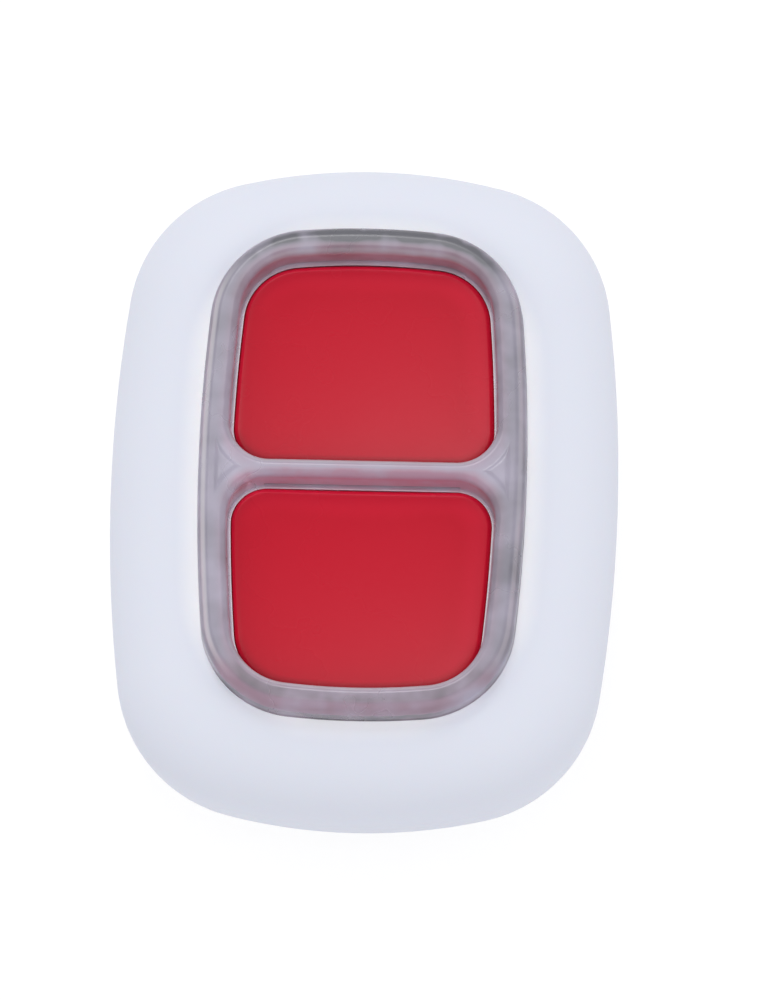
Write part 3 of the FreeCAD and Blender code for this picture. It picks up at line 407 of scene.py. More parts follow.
def makeCaughtLightGroup():
    # painted light at edges and in clear plastic: a patchy painted reflection by one mark, painted highlights
    # or painted dark lines of shade by the sign of another, and patches of painted shade by a third; the
    # painted highlights also come out as a glow
    group, given, result = newGroup("caughtLight", {
        "Colour": (0.8, 0.8, 0.8), "Reflection Colour": (0.8, 0.4, 0.5), "Highlight Colour": (1, 1, 1),
        "Shade Colour": (0.3, 0.3, 0.3), "Tint": 0.0, "Edge": 0.0, "Shade": 0.0, "Patch Scale": 400.0,
    }, ["Colour", "Light"])
    clouds = placeNoise(group, objectPlace(group), given["Patch Scale"])
    patches = mathNode(group, "MULTIPLY_ADD", clouds, patchDetail["contrast"], patchDetail["shift"])
    patches = mathNode(group, "MAXIMUM", patches, patchDetail["least"])
    pale = mathNode(group, "MAXIMUM", given["Edge"], 0.0)
    line = mathNode(group, "MAXIMUM", product(group, given["Edge"], -1.0), 0.0)
    colour = mixColour(group, product(group, patches, given["Tint"]), given["Colour"], given["Reflection Colour"])
    colour = mixColour(group, product(group, patches, given["Shade"]), colour, given["Shade Colour"])
    colour = mixColour(group, pale, colour, given["Highlight Colour"])
    colour = mixColour(group, line, colour, given["Shade Colour"])
    group.links.new(colour, result["Colour"])
    group.links.new(mixColour(group, pale, (0.0, 0.0, 0.0), given["Highlight Colour"]), result["Light"])
    return group


# the housing's painted light beside the window fades with this power
windowLightFade = 1.5  # power of the fade's curve


def makeWindowLightGroup():
    # painted light that lifts the shade beside the divider, fading with the distance d outside the window:
    # the side and end arcs give two distances a and b, and with corner radius r, d = length of (max(a + r,
    # 0), max(b + r, 0)) less r
    group, given, result = newGroup("windowPaintedLight", {
        "Colour": (0.8, 0.8, 0.8), "Painted Light Colour": (1, 1, 1), "Fade": 0.001, "Amount": 1.0,
    }, ["Colour"])
    sideX, endY = outlineArcs(windowShape)[:2]
    split = group.nodes.new("ShaderNodeSeparateXYZ")
    group.links.new(objectPlace(group), split.inputs[0])
    x, y = (mathNode(group, "ABSOLUTE", split.outputs[index]) for index in (0, 1))
    squares = []
    for first, second, radius in ((mathNode(group, "ADD", x, sideX * mm), y, windowShape["side"]),
                                  (x, mathNode(group, "ADD", y, endY * mm), windowShape["end"])):
        square = mathNode(group, "ADD", product(group, first, first), product(group, second, second))
        reach = mathNode(group, "SQRT", square)
        past = mathNode(group, "SUBTRACT", reach, (radius - windowShape["corner"]) * mm)
        past = mathNode(group, "MAXIMUM", past, 0.0)
        squares.append(product(group, past, past))
    distance = mathNode(group, "SQRT", mathNode(group, "ADD", *squares))
    distance = mathNode(group, "SUBTRACT", distance, windowShape["corner"] * mm)
    share = mathNode(group, "MAXIMUM", mathNode(group, "DIVIDE", distance, given["Fade"]), 0.0)
    near = mathNode(group, "SUBTRACT", 1.0, mathNode(group, "MINIMUM", share, 1.0))
    amount = product(group, mathNode(group, "POWER", near, windowLightFade), given["Amount"])
    group.links.new(mixColour(group, amount, given["Colour"], given["Painted Light Colour"]), result["Colour"])
    return group


def passColour(material, group, values):
    # runs the material's colour through one more group on its way to the shader; a text among the values
    # names the mesh's mark that feeds that input
    tree = material.node_tree
    entry = tree.nodes["Principled BSDF"].inputs["Base Color"]
    extra = tree.nodes.new("ShaderNodeGroup")
    extra.node_tree = group
    tree.links.new(entry.links[0].from_socket, extra.inputs["Colour"])
    for label, value in values.items():
        if isinstance(value, str):
            mark = tree.nodes.new("ShaderNodeAttribute")
            mark.attribute_name = value
            tree.links.new(mark.outputs["Fac"], extra.inputs[label])
        else:
            setSocket(extra.inputs[label], value)
    tree.links.new(extra.outputs["Colour"], entry)
    return extra


def openToLamps(material, look):
    # lets a share of the lamps' light straight through, in the plastic's own tint
    tree = material.node_tree
    lampRay = product(tree, tree.nodes.new("ShaderNodeLightPath").outputs["Is Shadow Ray"], look["lampShare"])
    clear = tree.nodes.new("ShaderNodeBsdfTransparent")
    setSocket(clear.inputs["Color"], look["lampTint"])
    mixShaders(tree, lampRay, tree.nodes["Principled BSDF"], clear, "Material Output")


def newMaterial(name):
    material = bpy.data.materials.new(name)
    material.use_nodes = True
    return material, material.node_tree, material.node_tree.nodes["Principled BSDF"].inputs


def startMaterial(name, group, look):
    # material whose group feeds colour, roughness and a bump; look holds the values of group and shader
    material, tree, shader = newMaterial(name)
    skin = tree.nodes.new("ShaderNodeGroup")
    skin.node_tree = group
    setSockets(skin.inputs, look["skin"])
    setSockets(shader, look.get("shader", {}))
    bump = tree.nodes.new("ShaderNodeBump")
    setSockets(bump.inputs, {"Strength": look["bump"], "Distance": look["bumpDepth"] * mm})
    tree.links.new(skin.outputs["Height"], bump.inputs["Height"])
    tree.links.new(skin.outputs["Colour"], shader["Base Color"])
    tree.links.new(skin.outputs["Roughness"], shader["Roughness"])
    tree.links.new(bump.outputs["Normal"], shader["Normal"])
    return material


housingLook = {
    "skin": {"Colour": (0.745, 0.77, 0.855), "Drift Colour": (0.705, 0.73, 0.815), "Drift": 0.25,
             "Roughness": 0.5, "Polish": 0.12, "Grain Scale": 5200.0, "Drift Scale": 90.0},
    "shader": {"IOR": 1.49, "Specular IOR Level": 0.35, "Subsurface Weight": 0.06,
               "Subsurface Scale": 0.0008},
    "bump": 0.25, "bumpDepth": 0.01,
    # painted light beside the window, lifting the shade that the divider casts on the housing
    "windowPaintedLight": {"Painted Light Colour": (0.97, 0.97, 0.985), "Fade": 0.0016, "Amount": 0.95},
}
keyLook = {
    "skin": {"Colour": (0.54, 0.002, 0.02), "Drift Colour": (0.51, 0.002, 0.018), "Drift": 0.3,
             "Roughness": 0.27, "Polish": 0.1, "Grain Scale": 4200.0, "Drift Scale": 130.0, "Specks": 0.5},
    "shader": {"IOR": 1.46, "Specular IOR Level": 0.17},
    "bump": 0.3, "bumpDepth": 0.012,
    # painted highlights and painted shade on the key's edge and face, placed by the mesh's mark
    "caughtLight": {"Highlight Colour": (0.8, 0.01, 0.045), "Shade Colour": (0.27, 0.001, 0.01),
                    "Edge": "edgeLight"},
}
dividerLook = {
    "skin": {"Colour": (0.78, 0.73, 0.9), "Drift Colour": (0.7, 0.64, 0.8), "Drift": 0.5, "Roughness": 0.28,
             "Polish": 0.1, "Grain Scale": 2600.0, "Drift Scale": 150.0},
    # the emission is a painted glow of the divider's painted highlights
    "shader": {"IOR": 1.5, "Transmission Weight": 0.55, "Emission Strength": 0.12},
    "bump": 0.08, "bumpDepth": 0.01,
    # painted reflection of the red keys, painted highlights and dark lines, and painted shade, placed by the
    # mesh's marks
    "caughtLight": {"Reflection Colour": (0.75, 0.42, 0.56), "Highlight Colour": (1.0, 0.97, 1.0),
                    "Shade Colour": (0.26, 0.26, 0.3), "Tint": "keyReflection", "Edge": "edgeLight",
                    "Shade": "rimShade", "Patch Scale": 360.0},
    "lampShare": 0.75, "lampTint": (0.95, 0.93, 0.97),
}
plainLooks = {
    "seal_rubber": {
        "skin": {"Colour": (0.5, 0.51, 0.53), "Drift Colour": (0.4, 0.41, 0.43), "Drift": 0.5,
                 "Roughness": 0.7, "Polish": 0.2, "Grain Scale": 3000.0, "Drift Scale": 300.0},
        "bump": 0.3, "bumpDepth": 0.01,
    },
    "frame_white": {
        "skin": {"Colour": (0.78, 0.78, 0.81), "Drift Colour": (0.7, 0.7, 0.73), "Drift": 0.3,
                 "Roughness": 0.45, "Polish": 0.15, "Grain Scale": 4000.0, "Drift Scale": 150.0},
        "bump": 0.2, "bumpDepth": 0.01,
    },
    "boot_silicone": {
        "skin": {"Colour": (0.7, 0.71, 0.74), "Drift Colour": (0.62, 0.63, 0.66), "Drift": 0.4,
                 "Roughness": 0.55, "Polish": 0.2, "Grain Scale": 3500.0, "Drift Scale": 200.0},
        "shader": {"Subsurface Weight": 0.3, "Subsurface Scale": 0.001},
        "bump": 0.25, "bumpDepth": 0.008,
    },
    "board_green": {
        "skin": {"Colour": (0.02, 0.15, 0.055), "Drift Colour": (0.012, 0.09, 0.035), "Drift": 0.8,
                 "Roughness": 0.28, "Polish": 0.15, "Grain Scale": 6000.0, "Drift Scale": 700.0},
        "shader": {"Coat Weight": 0.4, "Coat Roughness": 0.12},
        "bump": 0.3, "bumpDepth": 0.01,
    },
    "switch_black": {
        "skin": {"Colour": (0.028, 0.028, 0.03), "Drift Colour": (0.05, 0.05, 0.052), "Drift": 0.4,
                 "Roughness": 0.5, "Polish": 0.2, "Grain Scale": 6000.0, "Drift Scale": 400.0},
        "bump": 0.3, "bumpDepth": 0.01,
    },
    "plunger_black": {
        "skin": {"Colour": (0.04, 0.04, 0.042), "Drift Colour": (0.07, 0.07, 0.072), "Drift": 0.4,
                 "Roughness": 0.4, "Polish": 0.25, "Grain Scale": 7000.0, "Drift Scale": 500.0},
        "bump": 0.2, "bumpDepth": 0.008,
    },
    "chip_black": {
        "skin": {"Colour": (0.025, 0.025, 0.03), "Drift Colour": (0.05, 0.05, 0.055), "Drift": 0.5,
                 "Roughness": 0.55, "Polish": 0.2, "Grain Scale": 9000.0, "Drift Scale": 600.0},
        "bump": 0.4, "bumpDepth": 0.01,
    },
    "lamp_body": {
        "skin": {"Colour": (0.85, 0.82, 0.68), "Drift Colour": (0.7, 0.66, 0.5), "Drift": 0.5,
                 "Roughness": 0.2, "Polish": 0.1, "Grain Scale": 5000.0, "Drift Scale": 900.0},
        "shader": {"Coat Weight": 0.6, "Coat Roughness": 0.08},
        "bump": 0.1, "bumpDepth": 0.005,
    },
    "capacitor_tan": {
        "skin": {"Colour": (0.47, 0.33, 0.2), "Drift Colour": (0.35, 0.24, 0.14), "Drift": 0.6,
                 "Roughness": 0.6, "Polish": 0.2, "Grain Scale": 8000.0, "Drift Scale": 900.0},
        "bump": 0.4, "bumpDepth": 0.008,
    },
}
sheetLooks = {
    "screw_steel": {
        "skin": {"Colour": (0.6, 0.6, 0.62), "Tarnish Colour": (0.42, 0.41, 0.4), "Tarnish": 0.4,
                 "Roughness": 0.28, "Scratch Scale": 1200.0},
        "bump": 0.2, "bumpDepth": 0.005,
    },
    "sheet_steel": {
        "skin": {"Colour": (0.68, 0.68, 0.7), "Tarnish Colour": (0.5, 0.49, 0.47), "Tarnish": 0.35,
                 "Roughness": 0.26, "Scratch Scale": 1000.0},
        "bump": 0.2, "bumpDepth": 0.004,
    },
    "contact_metal": {
        "skin": {"Colour": (0.74, 0.62, 0.38), "Tarnish Colour": (0.5, 0.38, 0.22), "Tarnish": 0.45,
                 "Roughness": 0.25, "Scratch Scale": 1400.0},
        "bump": 0.2, "bumpDepth": 0.004,
    },
    "cell_steel": {
        "skin": {"Colour": (0.72, 0.72, 0.74), "Tarnish Colour": (0.55, 0.54, 0.52), "Tarnish": 0.3,
                 "Roughness": 0.3, "Scratch Scale": 700.0},
        "bump": 0.25, "bumpDepth": 0.004,
    },
}


def makeMaterials():
    moulded, rolled = makeMouldedGroup(), makeRolledGroup()
    made = {
        "housing_white": startMaterial("housing_white", moulded, housingLook),
        "key_red": startMaterial("key_red", moulded, keyLook),
        "clear_divider": startMaterial("clear_divider", moulded, dividerLook),
    }
    # the housing gets painted light beside the window
    passColour(made["housing_white"], makeWindowLightGroup(), housingLook["windowPaintedLight"])
    caughtLight = makeCaughtLightGroup()
    passColour(made["key_red"], caughtLight, keyLook["caughtLight"])
    caught = passColour(made["clear_divider"], caughtLight, dividerLook["caughtLight"])
    tree = made["clear_divider"].node_tree
    # the divider's painted highlights also glow
    tree.links.new(caught.outputs["Light"], tree.nodes["Principled BSDF"].inputs["Emission Color"])
    openToLamps(made["clear_divider"], dividerLook)
    for name, look in plainLooks.items():
        made[name] = startMaterial(name, moulded, look)
    for name, look in sheetLooks.items():
        made[name] = startMaterial(name, rolled, {**look, "shader": {"Metallic": 1.0}})
    for row in frame["record"]["subparts"]:
        mesh = nodes[row["node"]].data
        mesh.materials.clear()
        mesh.materials.append(made[row["material_slot"]])
    return made


# Floor, background and lamps

light = {
    "sky": {"Color": (0.985, 0.985, 1.0), "Strength": 0.82},
    "seen": {"Color": (0.8, 0.8, 0.8), "Strength": 1.0},
    "lamps": {
        "keyLamp": {"place": (-0.1, 0.46, 0.84), "size": 0.3, "power": 2.0},
        "fillLamp": {"place": (0.35, -0.5, 0.7), "size": 0.6, "power": 0.6},
    },
}
ground = {
    "radius": 2.5, "height": -0.00003, "rings": 23, "spokes": 96,
    "seen": {"Base Color": (0.24, 0.24, 0.24), "Roughness": 0.9, "Specular IOR Level": 0.0,
             "Emission Color": (1, 1, 1), "Emission Strength": 0.82},
    "bounce": (0.85, 0.85, 0.87),
}


def backgroundRays(tree):
    # 1 for the rays that show the background: straight to the camera, mirrored or through clear plastic
    path = tree.nodes.new("ShaderNodeLightPath")
    seen = mathNode(tree, "MAXIMUM", path.outputs["Is Camera Ray"], path.outputs["Is Glossy Ray"])
    return mathNode(tree, "MAXIMUM", seen, path.outputs["Is Transmission Ray"])


def makeRoom():
    # the room's light is slightly blue, and rays that show the room find a plain light grey
    world = bpy.data.worlds.new("paleRoom")
    scene.world = world
    world.use_nodes = True
    tree = world.node_tree
    sky, seen = tree.nodes["Background"], tree.nodes.new("ShaderNodeBackground")
    setSockets(sky.inputs, light["sky"])
    setSockets(seen.inputs, light["seen"])
    mixShaders(tree, backgroundRays(tree), sky, seen, "World Output")


def makeFloor():
    # rings about the centre, whose radius grows with the square of the ring's share, and a closing fan
    rings, spokes = ground["rings"], ground["spokes"]
    share = np.linspace(0, 1, rings + 1)[1:, None] ** 2
    angle = np.linspace(0, 2 * math.pi, spokes, endpoint=False)[None, :]
    radius = share * ground["radius"]
    flat = np.stack((radius * np.cos(angle), radius * np.sin(angle)), -1).reshape(-1, 2)
    points = level(np.concatenate((flat, [[0, 0]])), ground["height"])
    faces = gridFaces(rings, spokes)[:, ::-1].tolist()
    inner = np.arange(spokes)
    faces += np.stack((np.full(spokes, rings * spokes), inner, (inner + 1) % spokes), -1).tolist()
    mesh = bpy.data.meshes.new("floor")
    mesh.from_pydata(points.tolist(), [], faces)
    mesh.update()
    floor = addObject("floor", mesh)

    # the floor glows nearly white for the rays that show it, and only passes light on for the others
    material, tree, shader = newMaterial("paleFloor")
    setSockets(shader, ground["seen"])
    bounce = tree.nodes.new("ShaderNodeBsdfDiffuse")
    setSocket(bounce.inputs["Color"], ground["bounce"])
    mixShaders(tree, backgroundRays(tree), bounce, tree.nodes["Principled BSDF"], "Material Output")
    mesh.materials.append(material)


def makeLamps():
    for name, lamp in light["lamps"].items():
        data = bpy.data.lights.new(name, "AREA")
        data.shape, data.size, data.energy = "DISK", lamp["size"], lamp["power"]
        place = Vector(lamp["place"])
        turn = (-place).to_track_quat("-Z", "Y").to_matrix().to_4x4()  # aimed at the origin
        addObject(name, data).matrix_world = Matrix.Translation(place) @ turn


# Divider

divider = {
    "foot": 10.8, "seat": 11.6, "crown": 16.0, "flange": 1.0, "weld": 0.0005,
    "innerRound": 0.5, "outerRound": 0.8, "longestRay": 8.0,
    "nodeRise": 0.07, "nodeStart": 1.1, "nodeBlend": 0.3,
    "lip": 0.12, "lipEdge": 0.2, "lipThick": 0.08, "spread": 0.045, "spreadTop": 14.02, "spreadBlend": 0.03,
    "reliefHalf": 6.7, "reliefDepth": 0.09, "reliefFoot": 13.5, "reliefTop": 14.0, "reliefSoft": 0.04,
    "edgeSpan": 0.75, "barWall": 0.75, "farWall": 14.0,
    "legAcross": 11.1, "legRadius": 0.6, "legFoot": 7.2, "legTip": 0.15, "legOverlap": 0.02,
    # how many points and rows each stretch has
    "rows": {
        "outline": (34, 60, 20, 24, 32), "innerRound": 11, "crown": 42, "outerRound": 25,
        "wallFoot": 3, "edge": 7, "ledge": 7, "wallTop": 8, "under": 4, "rimWall": 8,
    },
    # strengths and places of the painted reflection of the red keys, the painted pale and dark lines and the
    # painted shade
    "mark": {
        "nearEnd": 13.2, "farEnd": 13.8, "endBlend": 1.6, "outerHalf": 0.9, "outerBlend": 0.5,
        "tint": 0.3, "wallTint": 0.6, "tintStart": 0.2, "tintFade": 0.9, "endTint": 0.4, "outerTint": 0.15,
        "hem": 0.38, "farHem": 0.15, "hemWidth": 0.2, "hemFade": 0.17,
        "band": 0.2, "leftBand": 0.36, "bandStart": 0.16, "bandWidth": 0.3, "bandFade": 0.14,
        "bandReach": 12.0, "bandTaper": 3.5,
        "line": 0.18, "linePlace": 0.14, "lineWidth": 0.07,
        "shade": 0.4, "leftLess": 0.11, "barHalf": 0.6, "barBlend": 1.4, "sideStart": 8.5, "sideBlend": 2.0,
        "nearLess": 0.12, "nearShade": 0.42, "nearStart": 0.35, "nearStop": 0.95, "nearRise": 0.2,
        "nearFall": 0.4,
        "farShade": 0.75, "farStart": 0.6, "farBlend": 0.45, "farEdge": 0.25, "farEdgeBlend": 0.5,
        "lipTint": 0.6, "sideLip": 0.9, "barLip": 0.45, "farLip": 0.2, "farLipStart": 11.5,
        "farLipBlend": 2.0, "barLedge": 0.56, "farLedge": 0.36, "ledgeTop": 0.38, "ledgeTopBlend": 0.15,
        "ledgeFoot": 0.5, "ledgeFootHeight": 0.2, "ledgeFootBlend": 0.2, "skirtDepth": 0.35,
    },
}


def edgeDrop(distance, radius):
    # how far a quarter round has fallen at a distance from the wall it ends in
    inside = np.clip(radius - distance, 0, radius)
    return radius - np.sqrt(radius ** 2 - inside ** 2)


def softStep(value, start, width):
    # 0 up to start, 1 from start + width on, and smooth between them
    share = np.clip((value - start) / width, 0, 1)
    return share * share * (3 - 2 * share)


def softBand(value, start, stop, rise, fall):
    # 1 between a smooth rise at start and a smooth fall at stop, 0 outside them
    return softStep(value, start, rise) * (1 - softStep(value, stop, fall))


def crownHeight(x, y, inward):
    # flat crown, less the rounds along both walls, with a low mesa where the bar meets the rim
    outward = depthInside(dividerShape, x, y)
    mesa = softStep(np.minimum(inward, outward), divider["nodeStart"], divider["nodeBlend"]) - 1
    return (divider["crown"] + divider["nodeRise"] * mesa
            - edgeDrop(inward, divider["innerRound"]) - edgeDrop(outward, divider["outerRound"]))


def reliefMask(points, onBar, height):
    # 1 inside the shallow ledge sunk into one wall of a cell, 0 elsewhere
    soft = divider["reliefSoft"]
    across = 1 - softStep(np.abs(points[:, 0]), divider["reliefHalf"], soft)
    wall = points[:, 1] < divider["barWall"] if onBar else points[:, 1] > divider["farWall"]
    up = softBand(height, divider["reliefFoot"] - soft / 2, divider["reliefTop"] - soft / 2, soft, soft)
    return (across * wall)[None, :] * up[:, None]


def dividerMarks(grid, inward, outward, normals, onBar):
    # painted light and shade in three marks: the first is a painted reflection of the red key that fades away
    # from the cell, but fills the near end; the second is a painted highlight on the edges of walls that face
    # the far end and in a band along both long sides, brighter on the left, inside a painted dark outermost
    # line; the third is painted shade that leaves the bar clear and is strongest on the outer half of the far
    # end and the inner half of the near end
    mark = divider["mark"]
    y = grid[..., 1] * (-1 if onBar else 1)
    facing = normals[:, 1] * (-1 if onBar else 1) * np.ones_like(y)
    facesNear, facesFar = np.clip(facing, 0, 1), np.clip(-facing, 0, 1)
    nearEnd = softStep(-y, mark["nearEnd"], mark["endBlend"])
    farEnd = softStep(y, mark["farEnd"], mark["endBlend"])
    outer = softStep(inward, mark["outerHalf"], mark["outerBlend"])
    fromLeft = 0.5 - 0.5 * np.clip(grid[..., 0] / divider["legAcross"], -1, 1)

    reflected = 1 - softStep(inward, mark["tintStart"], mark["tintFade"])
    reflected = reflected * (mark["tint"] + mark["wallTint"] * facesNear)
    reflected = np.maximum(reflected, (mark["endTint"] + mark["outerTint"] * outer) * nearEnd)

    hem = 1 - softStep(inward, mark["hemWidth"], mark["hemFade"])
    bandEnd = mark["bandStart"] + mark["bandWidth"]
    band = softBand(outward, mark["bandStart"], bandEnd, mark["bandFade"], mark["bandFade"])
    band = band * (1 - softStep(np.abs(y), mark["bandReach"], mark["bandTaper"]))
    line = np.exp(-((outward - mark["linePlace"]) / mark["lineWidth"]) ** 2) * (1 - farEnd) * (1 - nearEnd)
    edge = hem * (mark["hem"] * facesFar + mark["farHem"] * facesNear * farEnd)
    edge += (mark["band"] + mark["leftBand"] * fromLeft) * band - mark["line"] * line

    offBar = softStep(np.abs(y), mark["barHalf"], mark["barBlend"])
    offBar = np.maximum(offBar, softStep(np.abs(grid[..., 0]), mark["sideStart"], mark["sideBlend"]))
    shade = (mark["shade"] - mark["leftLess"] * fromLeft) * offBar
    innerHalf = softBand(inward, mark["nearStart"], mark["nearStop"], mark["nearRise"], mark["nearFall"])
    shade += nearEnd * (mark["nearShade"] * innerHalf - mark["nearLess"])
    offRim = mark["farEdge"] + (1 - mark["farEdge"]) * softStep(outward, 0, mark["farEdgeBlend"])
    shade += farEnd * mark["farShade"] * softStep(inward, mark["farStart"], mark["farBlend"]) * offRim
    return np.stack((reflected, edge, shade), -1)


def marked(grid, inward, outward, normals, onBar):
    # adds the three marks to a grid, from its distances to the cell and to the rim
    inward, outward = (np.broadcast_to(value, grid.shape[:-1]) for value in (inward, outward))
    return np.concatenate((grid, dividerMarks(grid, inward, outward, normals, onBar)), -1)


def cellRays():
    # rays from the wall of the upper cell outward, to the rim or to the bar's middle line
    width = dividerShape["width"]
    points, normals, rimCount = cellOutline(cellShape, divider["rows"]["outline"], split=width / 2)
    reach = rayLength(points, normals, dividerShape, divider["longestRay"])
    toBar = np.arange(len(points)) > rimCount
    reach[toBar] = -points[toBar, 1] / normals[toBar, 1]
    return points, normals, reach, rimCount


def dividerCrown(points, normals, reach, onBar):
    # the round along the cell, the flat crown and the round along the rim, in rows that follow the rays
    inner, rows = divider["innerRound"], divider["rows"]
    outer = np.minimum(divider["outerRound"], (reach - inner) / 2)
    rising = np.linspace(0, math.pi / 2, rows["innerRound"])[:, None]
    falling = np.linspace(math.pi / 2, 0, rows["outerRound"])[1:, None]
    share = np.linspace(0, 1, rows["crown"])[1:, None]
    rise = inner * (1 - np.cos(rising)) * np.ones_like(reach)
    middle = inner + share * (reach - outer - inner)
    fall = reach - outer * (1 - np.cos(falling))
    inward = np.concatenate((rise, middle, fall))
    top = points + inward[..., None] * normals
    crown = np.concatenate((top, crownHeight(top[..., 0], top[..., 1], inward)[..., None]), -1)
    return marked(crown, inward, depthInside(dividerShape, top[..., 0], top[..., 1]), normals, onBar)


def dividerWall(points, normals, reach, onBar):
    # the cell's wall from the foot up to the crown's round: a lip stands out under a shallow sunk ledge
    low, high, soft = divider["reliefFoot"], divider["reliefTop"], divider["reliefSoft"]
    wallTop = divider["crown"] - divider["nodeRise"] - divider["innerRound"]
    lipFoot, rows, span = low - divider["lipThick"], divider["rows"], divider["edgeSpan"]
    edge = soft * np.linspace(-span, span, rows["edge"])
    height = np.concatenate((
        np.linspace(divider["foot"], lipFoot - soft, rows["wallFoot"]), lipFoot + edge, low + edge,
        np.linspace(low + soft, high - soft, rows["ledge"]), high + edge,
        np.linspace(high + soft, wallTop, rows["wallTop"])[:-1],
    ))
    belowLedge = 1 - softStep(height, low - soft / 2, soft)
    lip = divider["lip"] + (divider["lipEdge"] - divider["lip"]) * softStep(height, lipFoot - soft / 2, soft)
    ledge = reliefMask(points, onBar, height)
    sunk = divider["reliefDepth"] * ledge - (lip * belowLedge)[:, None]
    wall = points[None] + sunk[..., None] * normals[None]
    wall = np.concatenate((wall, np.broadcast_to(height[:, None, None], (*sunk.shape, 1))), -1)
    wall = marked(wall, 0, reach, normals, onBar)

    # the lip has a painted highlight along the sides and a painted reflection of the red key on the walls
    # that face the near end;
    # the ledge's top has painted shade, and so has its foot on the bar
    mark = divider["mark"]
    facesNear = np.clip(-normals[:, 1] if onBar else normals[:, 1], 0, 1)
    atFarEnd = 0 if onBar else softStep(points[:, 1], mark["farLipStart"], mark["farLipBlend"])
    onLip = (softStep(height, lipFoot - soft, soft) * belowLedge)[:, None]
    top = softStep(height, high - mark["ledgeTop"], mark["ledgeTopBlend"])[:, None]
    dark = ledge * top * mark["barLedge" if onBar else "farLedge"]
    if onBar:
        foot = 1 - softStep(height, low + mark["ledgeFootHeight"], mark["ledgeFootBlend"])
        dark += mark["ledgeFoot"] * ledge * foot[:, None]
    pale = mark["sideLip"] - mark["barLip"] * facesNear - mark["farLip"] * atFarEnd
    wall[..., 3] = mark["wallTint"] * wall[..., 3] + mark["lipTint"] * onLip * facesNear
    wall[..., 4] = pale * onLip - dark
    return wall


def dividerSkirt(rim, onBar):
    # outside: down the rim's wall, out over the flange, down and back under it; it is marked like a line
    # that lies a little inside the rim
    sideX, endY, cornerX, cornerY, lowAngle, highAngle = outlineArcs(dividerShape)
    x, y = rim[:, 0], rim[:, 1]
    facing = np.arctan2(y - cornerY, np.abs(x) - cornerX)
    angle = np.where(facing < lowAngle, np.arctan2(y, np.abs(x) + sideX),
                     np.where(facing > highAngle, np.arctan2(y + endY, np.abs(x)), facing))
    outward = np.stack((np.sign(x) * np.cos(angle), np.sin(angle)), -1)
    spread, flange = divider["spread"], divider["flange"]
    wallFoot = divider["spreadTop"] + divider["spreadBlend"]
    skirt = [np.concatenate((rim[:, :2], height[:, None]), -1)
             for height in np.linspace(rim[:, 2], wallFoot, divider["rows"]["rimWall"])]
    for out, place in ((spread, "spreadTop"), (spread, "seat"), (flange / 2, "seat"), (flange, "seat"),
                       (flange, "foot"), (flange / 2, "foot"), (0.0, "foot")):
        skirt.append(level(rim[:, :2] + out * outward, divider[place]))
    return marked(np.array(skirt), flange, divider["mark"]["skirtDepth"], outward, onBar)


def dividerHalf(onBar):
    # one cell's half of the divider: the underside, the cell's wall and the crown in one sheet, and the skirt
    points, normals, reach, rimCount = cellRays()
    share = np.linspace(1, 0, divider["rows"]["under"])[:-1, None]
    under = points + (share * reach)[..., None] * normals
    under = marked(level(under, divider["foot"]), 0, reach, normals, onBar)
    crown = dividerCrown(points, normals, reach, onBar)
    sheet = np.concatenate((under, dividerWall(points, normals, reach, onBar), crown))
    skirt = dividerSkirt(crown[-1, :rimCount + 1], onBar)
    return [(sheet, gridFaces(*sheet.shape[:2])), (skirt, gridFaces(*skirt.shape[:2], closed=False))]


def makeDivider():
    # the half round the lower cell is the mirror image of the upper one, but for its marks and its ledge
    parts = dividerHalf(onBar=False)
    for grid, faces in dividerHalf(onBar=True):
        parts.append((grid * np.array((1, -1, 1, 1, 1, 1)), faces))
    leg, foot, tip = divider["legRadius"], divider["legFoot"], divider["legTip"]
    top = divider["foot"] + divider["legOverlap"]
    profile = [(0, top), (leg, top), (leg, foot + tip), (leg - tip / 3, foot + tip / 3), (leg - tip, foot),
               (0, foot)]
    for side in (-1, 1):
        grid, faces = turnedForm(profile, (side * divider["legAcross"], 0))
        parts.append((unmarked(grid, 3), faces))
    marks = ("keyReflection", "edgeLight", "rimShade")
    meshPiece("clearDivider", parts, "housing", "divider", "clear_divider", marks, divider["weld"])


# Keys

key = {
    "brim": 13.625, "dish": 13.25, "dishRadius": 160.0, "middle": 8.1, "edgeRound": 0.42, "sideTop": 12.6,
    "foot": 9.9, "flangeTop": 10.7, "flange": 0.7, "wall": 1.3, "ceiling": 12.2,
    "landing": (5.675, 4.675), "stem": 1.3, "stemFoot": 8.95, "stemTip": 0.2, "overlap": 0.03,
    # strengths and places of the painted highlights, painted dark lines and painted shade on the key's edge
    # and face
    "leftLight": 0.7, "darkSides": 0.45, "line": 0.75, "farLine": 1.35, "lineSlope": 0.9, "leftSlope": 0.1,
    "slopePower": 0.5,
    "farFace": 0.3, "rightFace": 0.28, "faceStart": 0.7, "faceFade": 1.8,
    "nearFace": 0.9, "nearStart": 0.45, "nearFade": 0.45,
    "rows": {"outline": (56, 26, 40, 26, 44), "dish": 29, "edgeRound": 9, "side": 6, "roof": 8},
}


def grownKey(grow, innerGrow):
    # the key's outline moved outward, its straight inner edge by a length of its own
    grown = dict(keyShape)
    for name in ("halfWidth", "outerEnd", "side", "end", "outerCorner"):
        grown[name] += grow
    grown["innerEdge"] -= innerGrow
    grown["innerCorner"] += innerGrow
    return grown


def dishHeight(x, y):
    # bowl of a large sphere, cut off level at the brim
    spread = x ** 2 + (y - key["middle"]) ** 2
    return np.minimum(key["brim"], key["dish"] + key["dishRadius"] - np.sqrt(key["dishRadius"] ** 2 - spread))


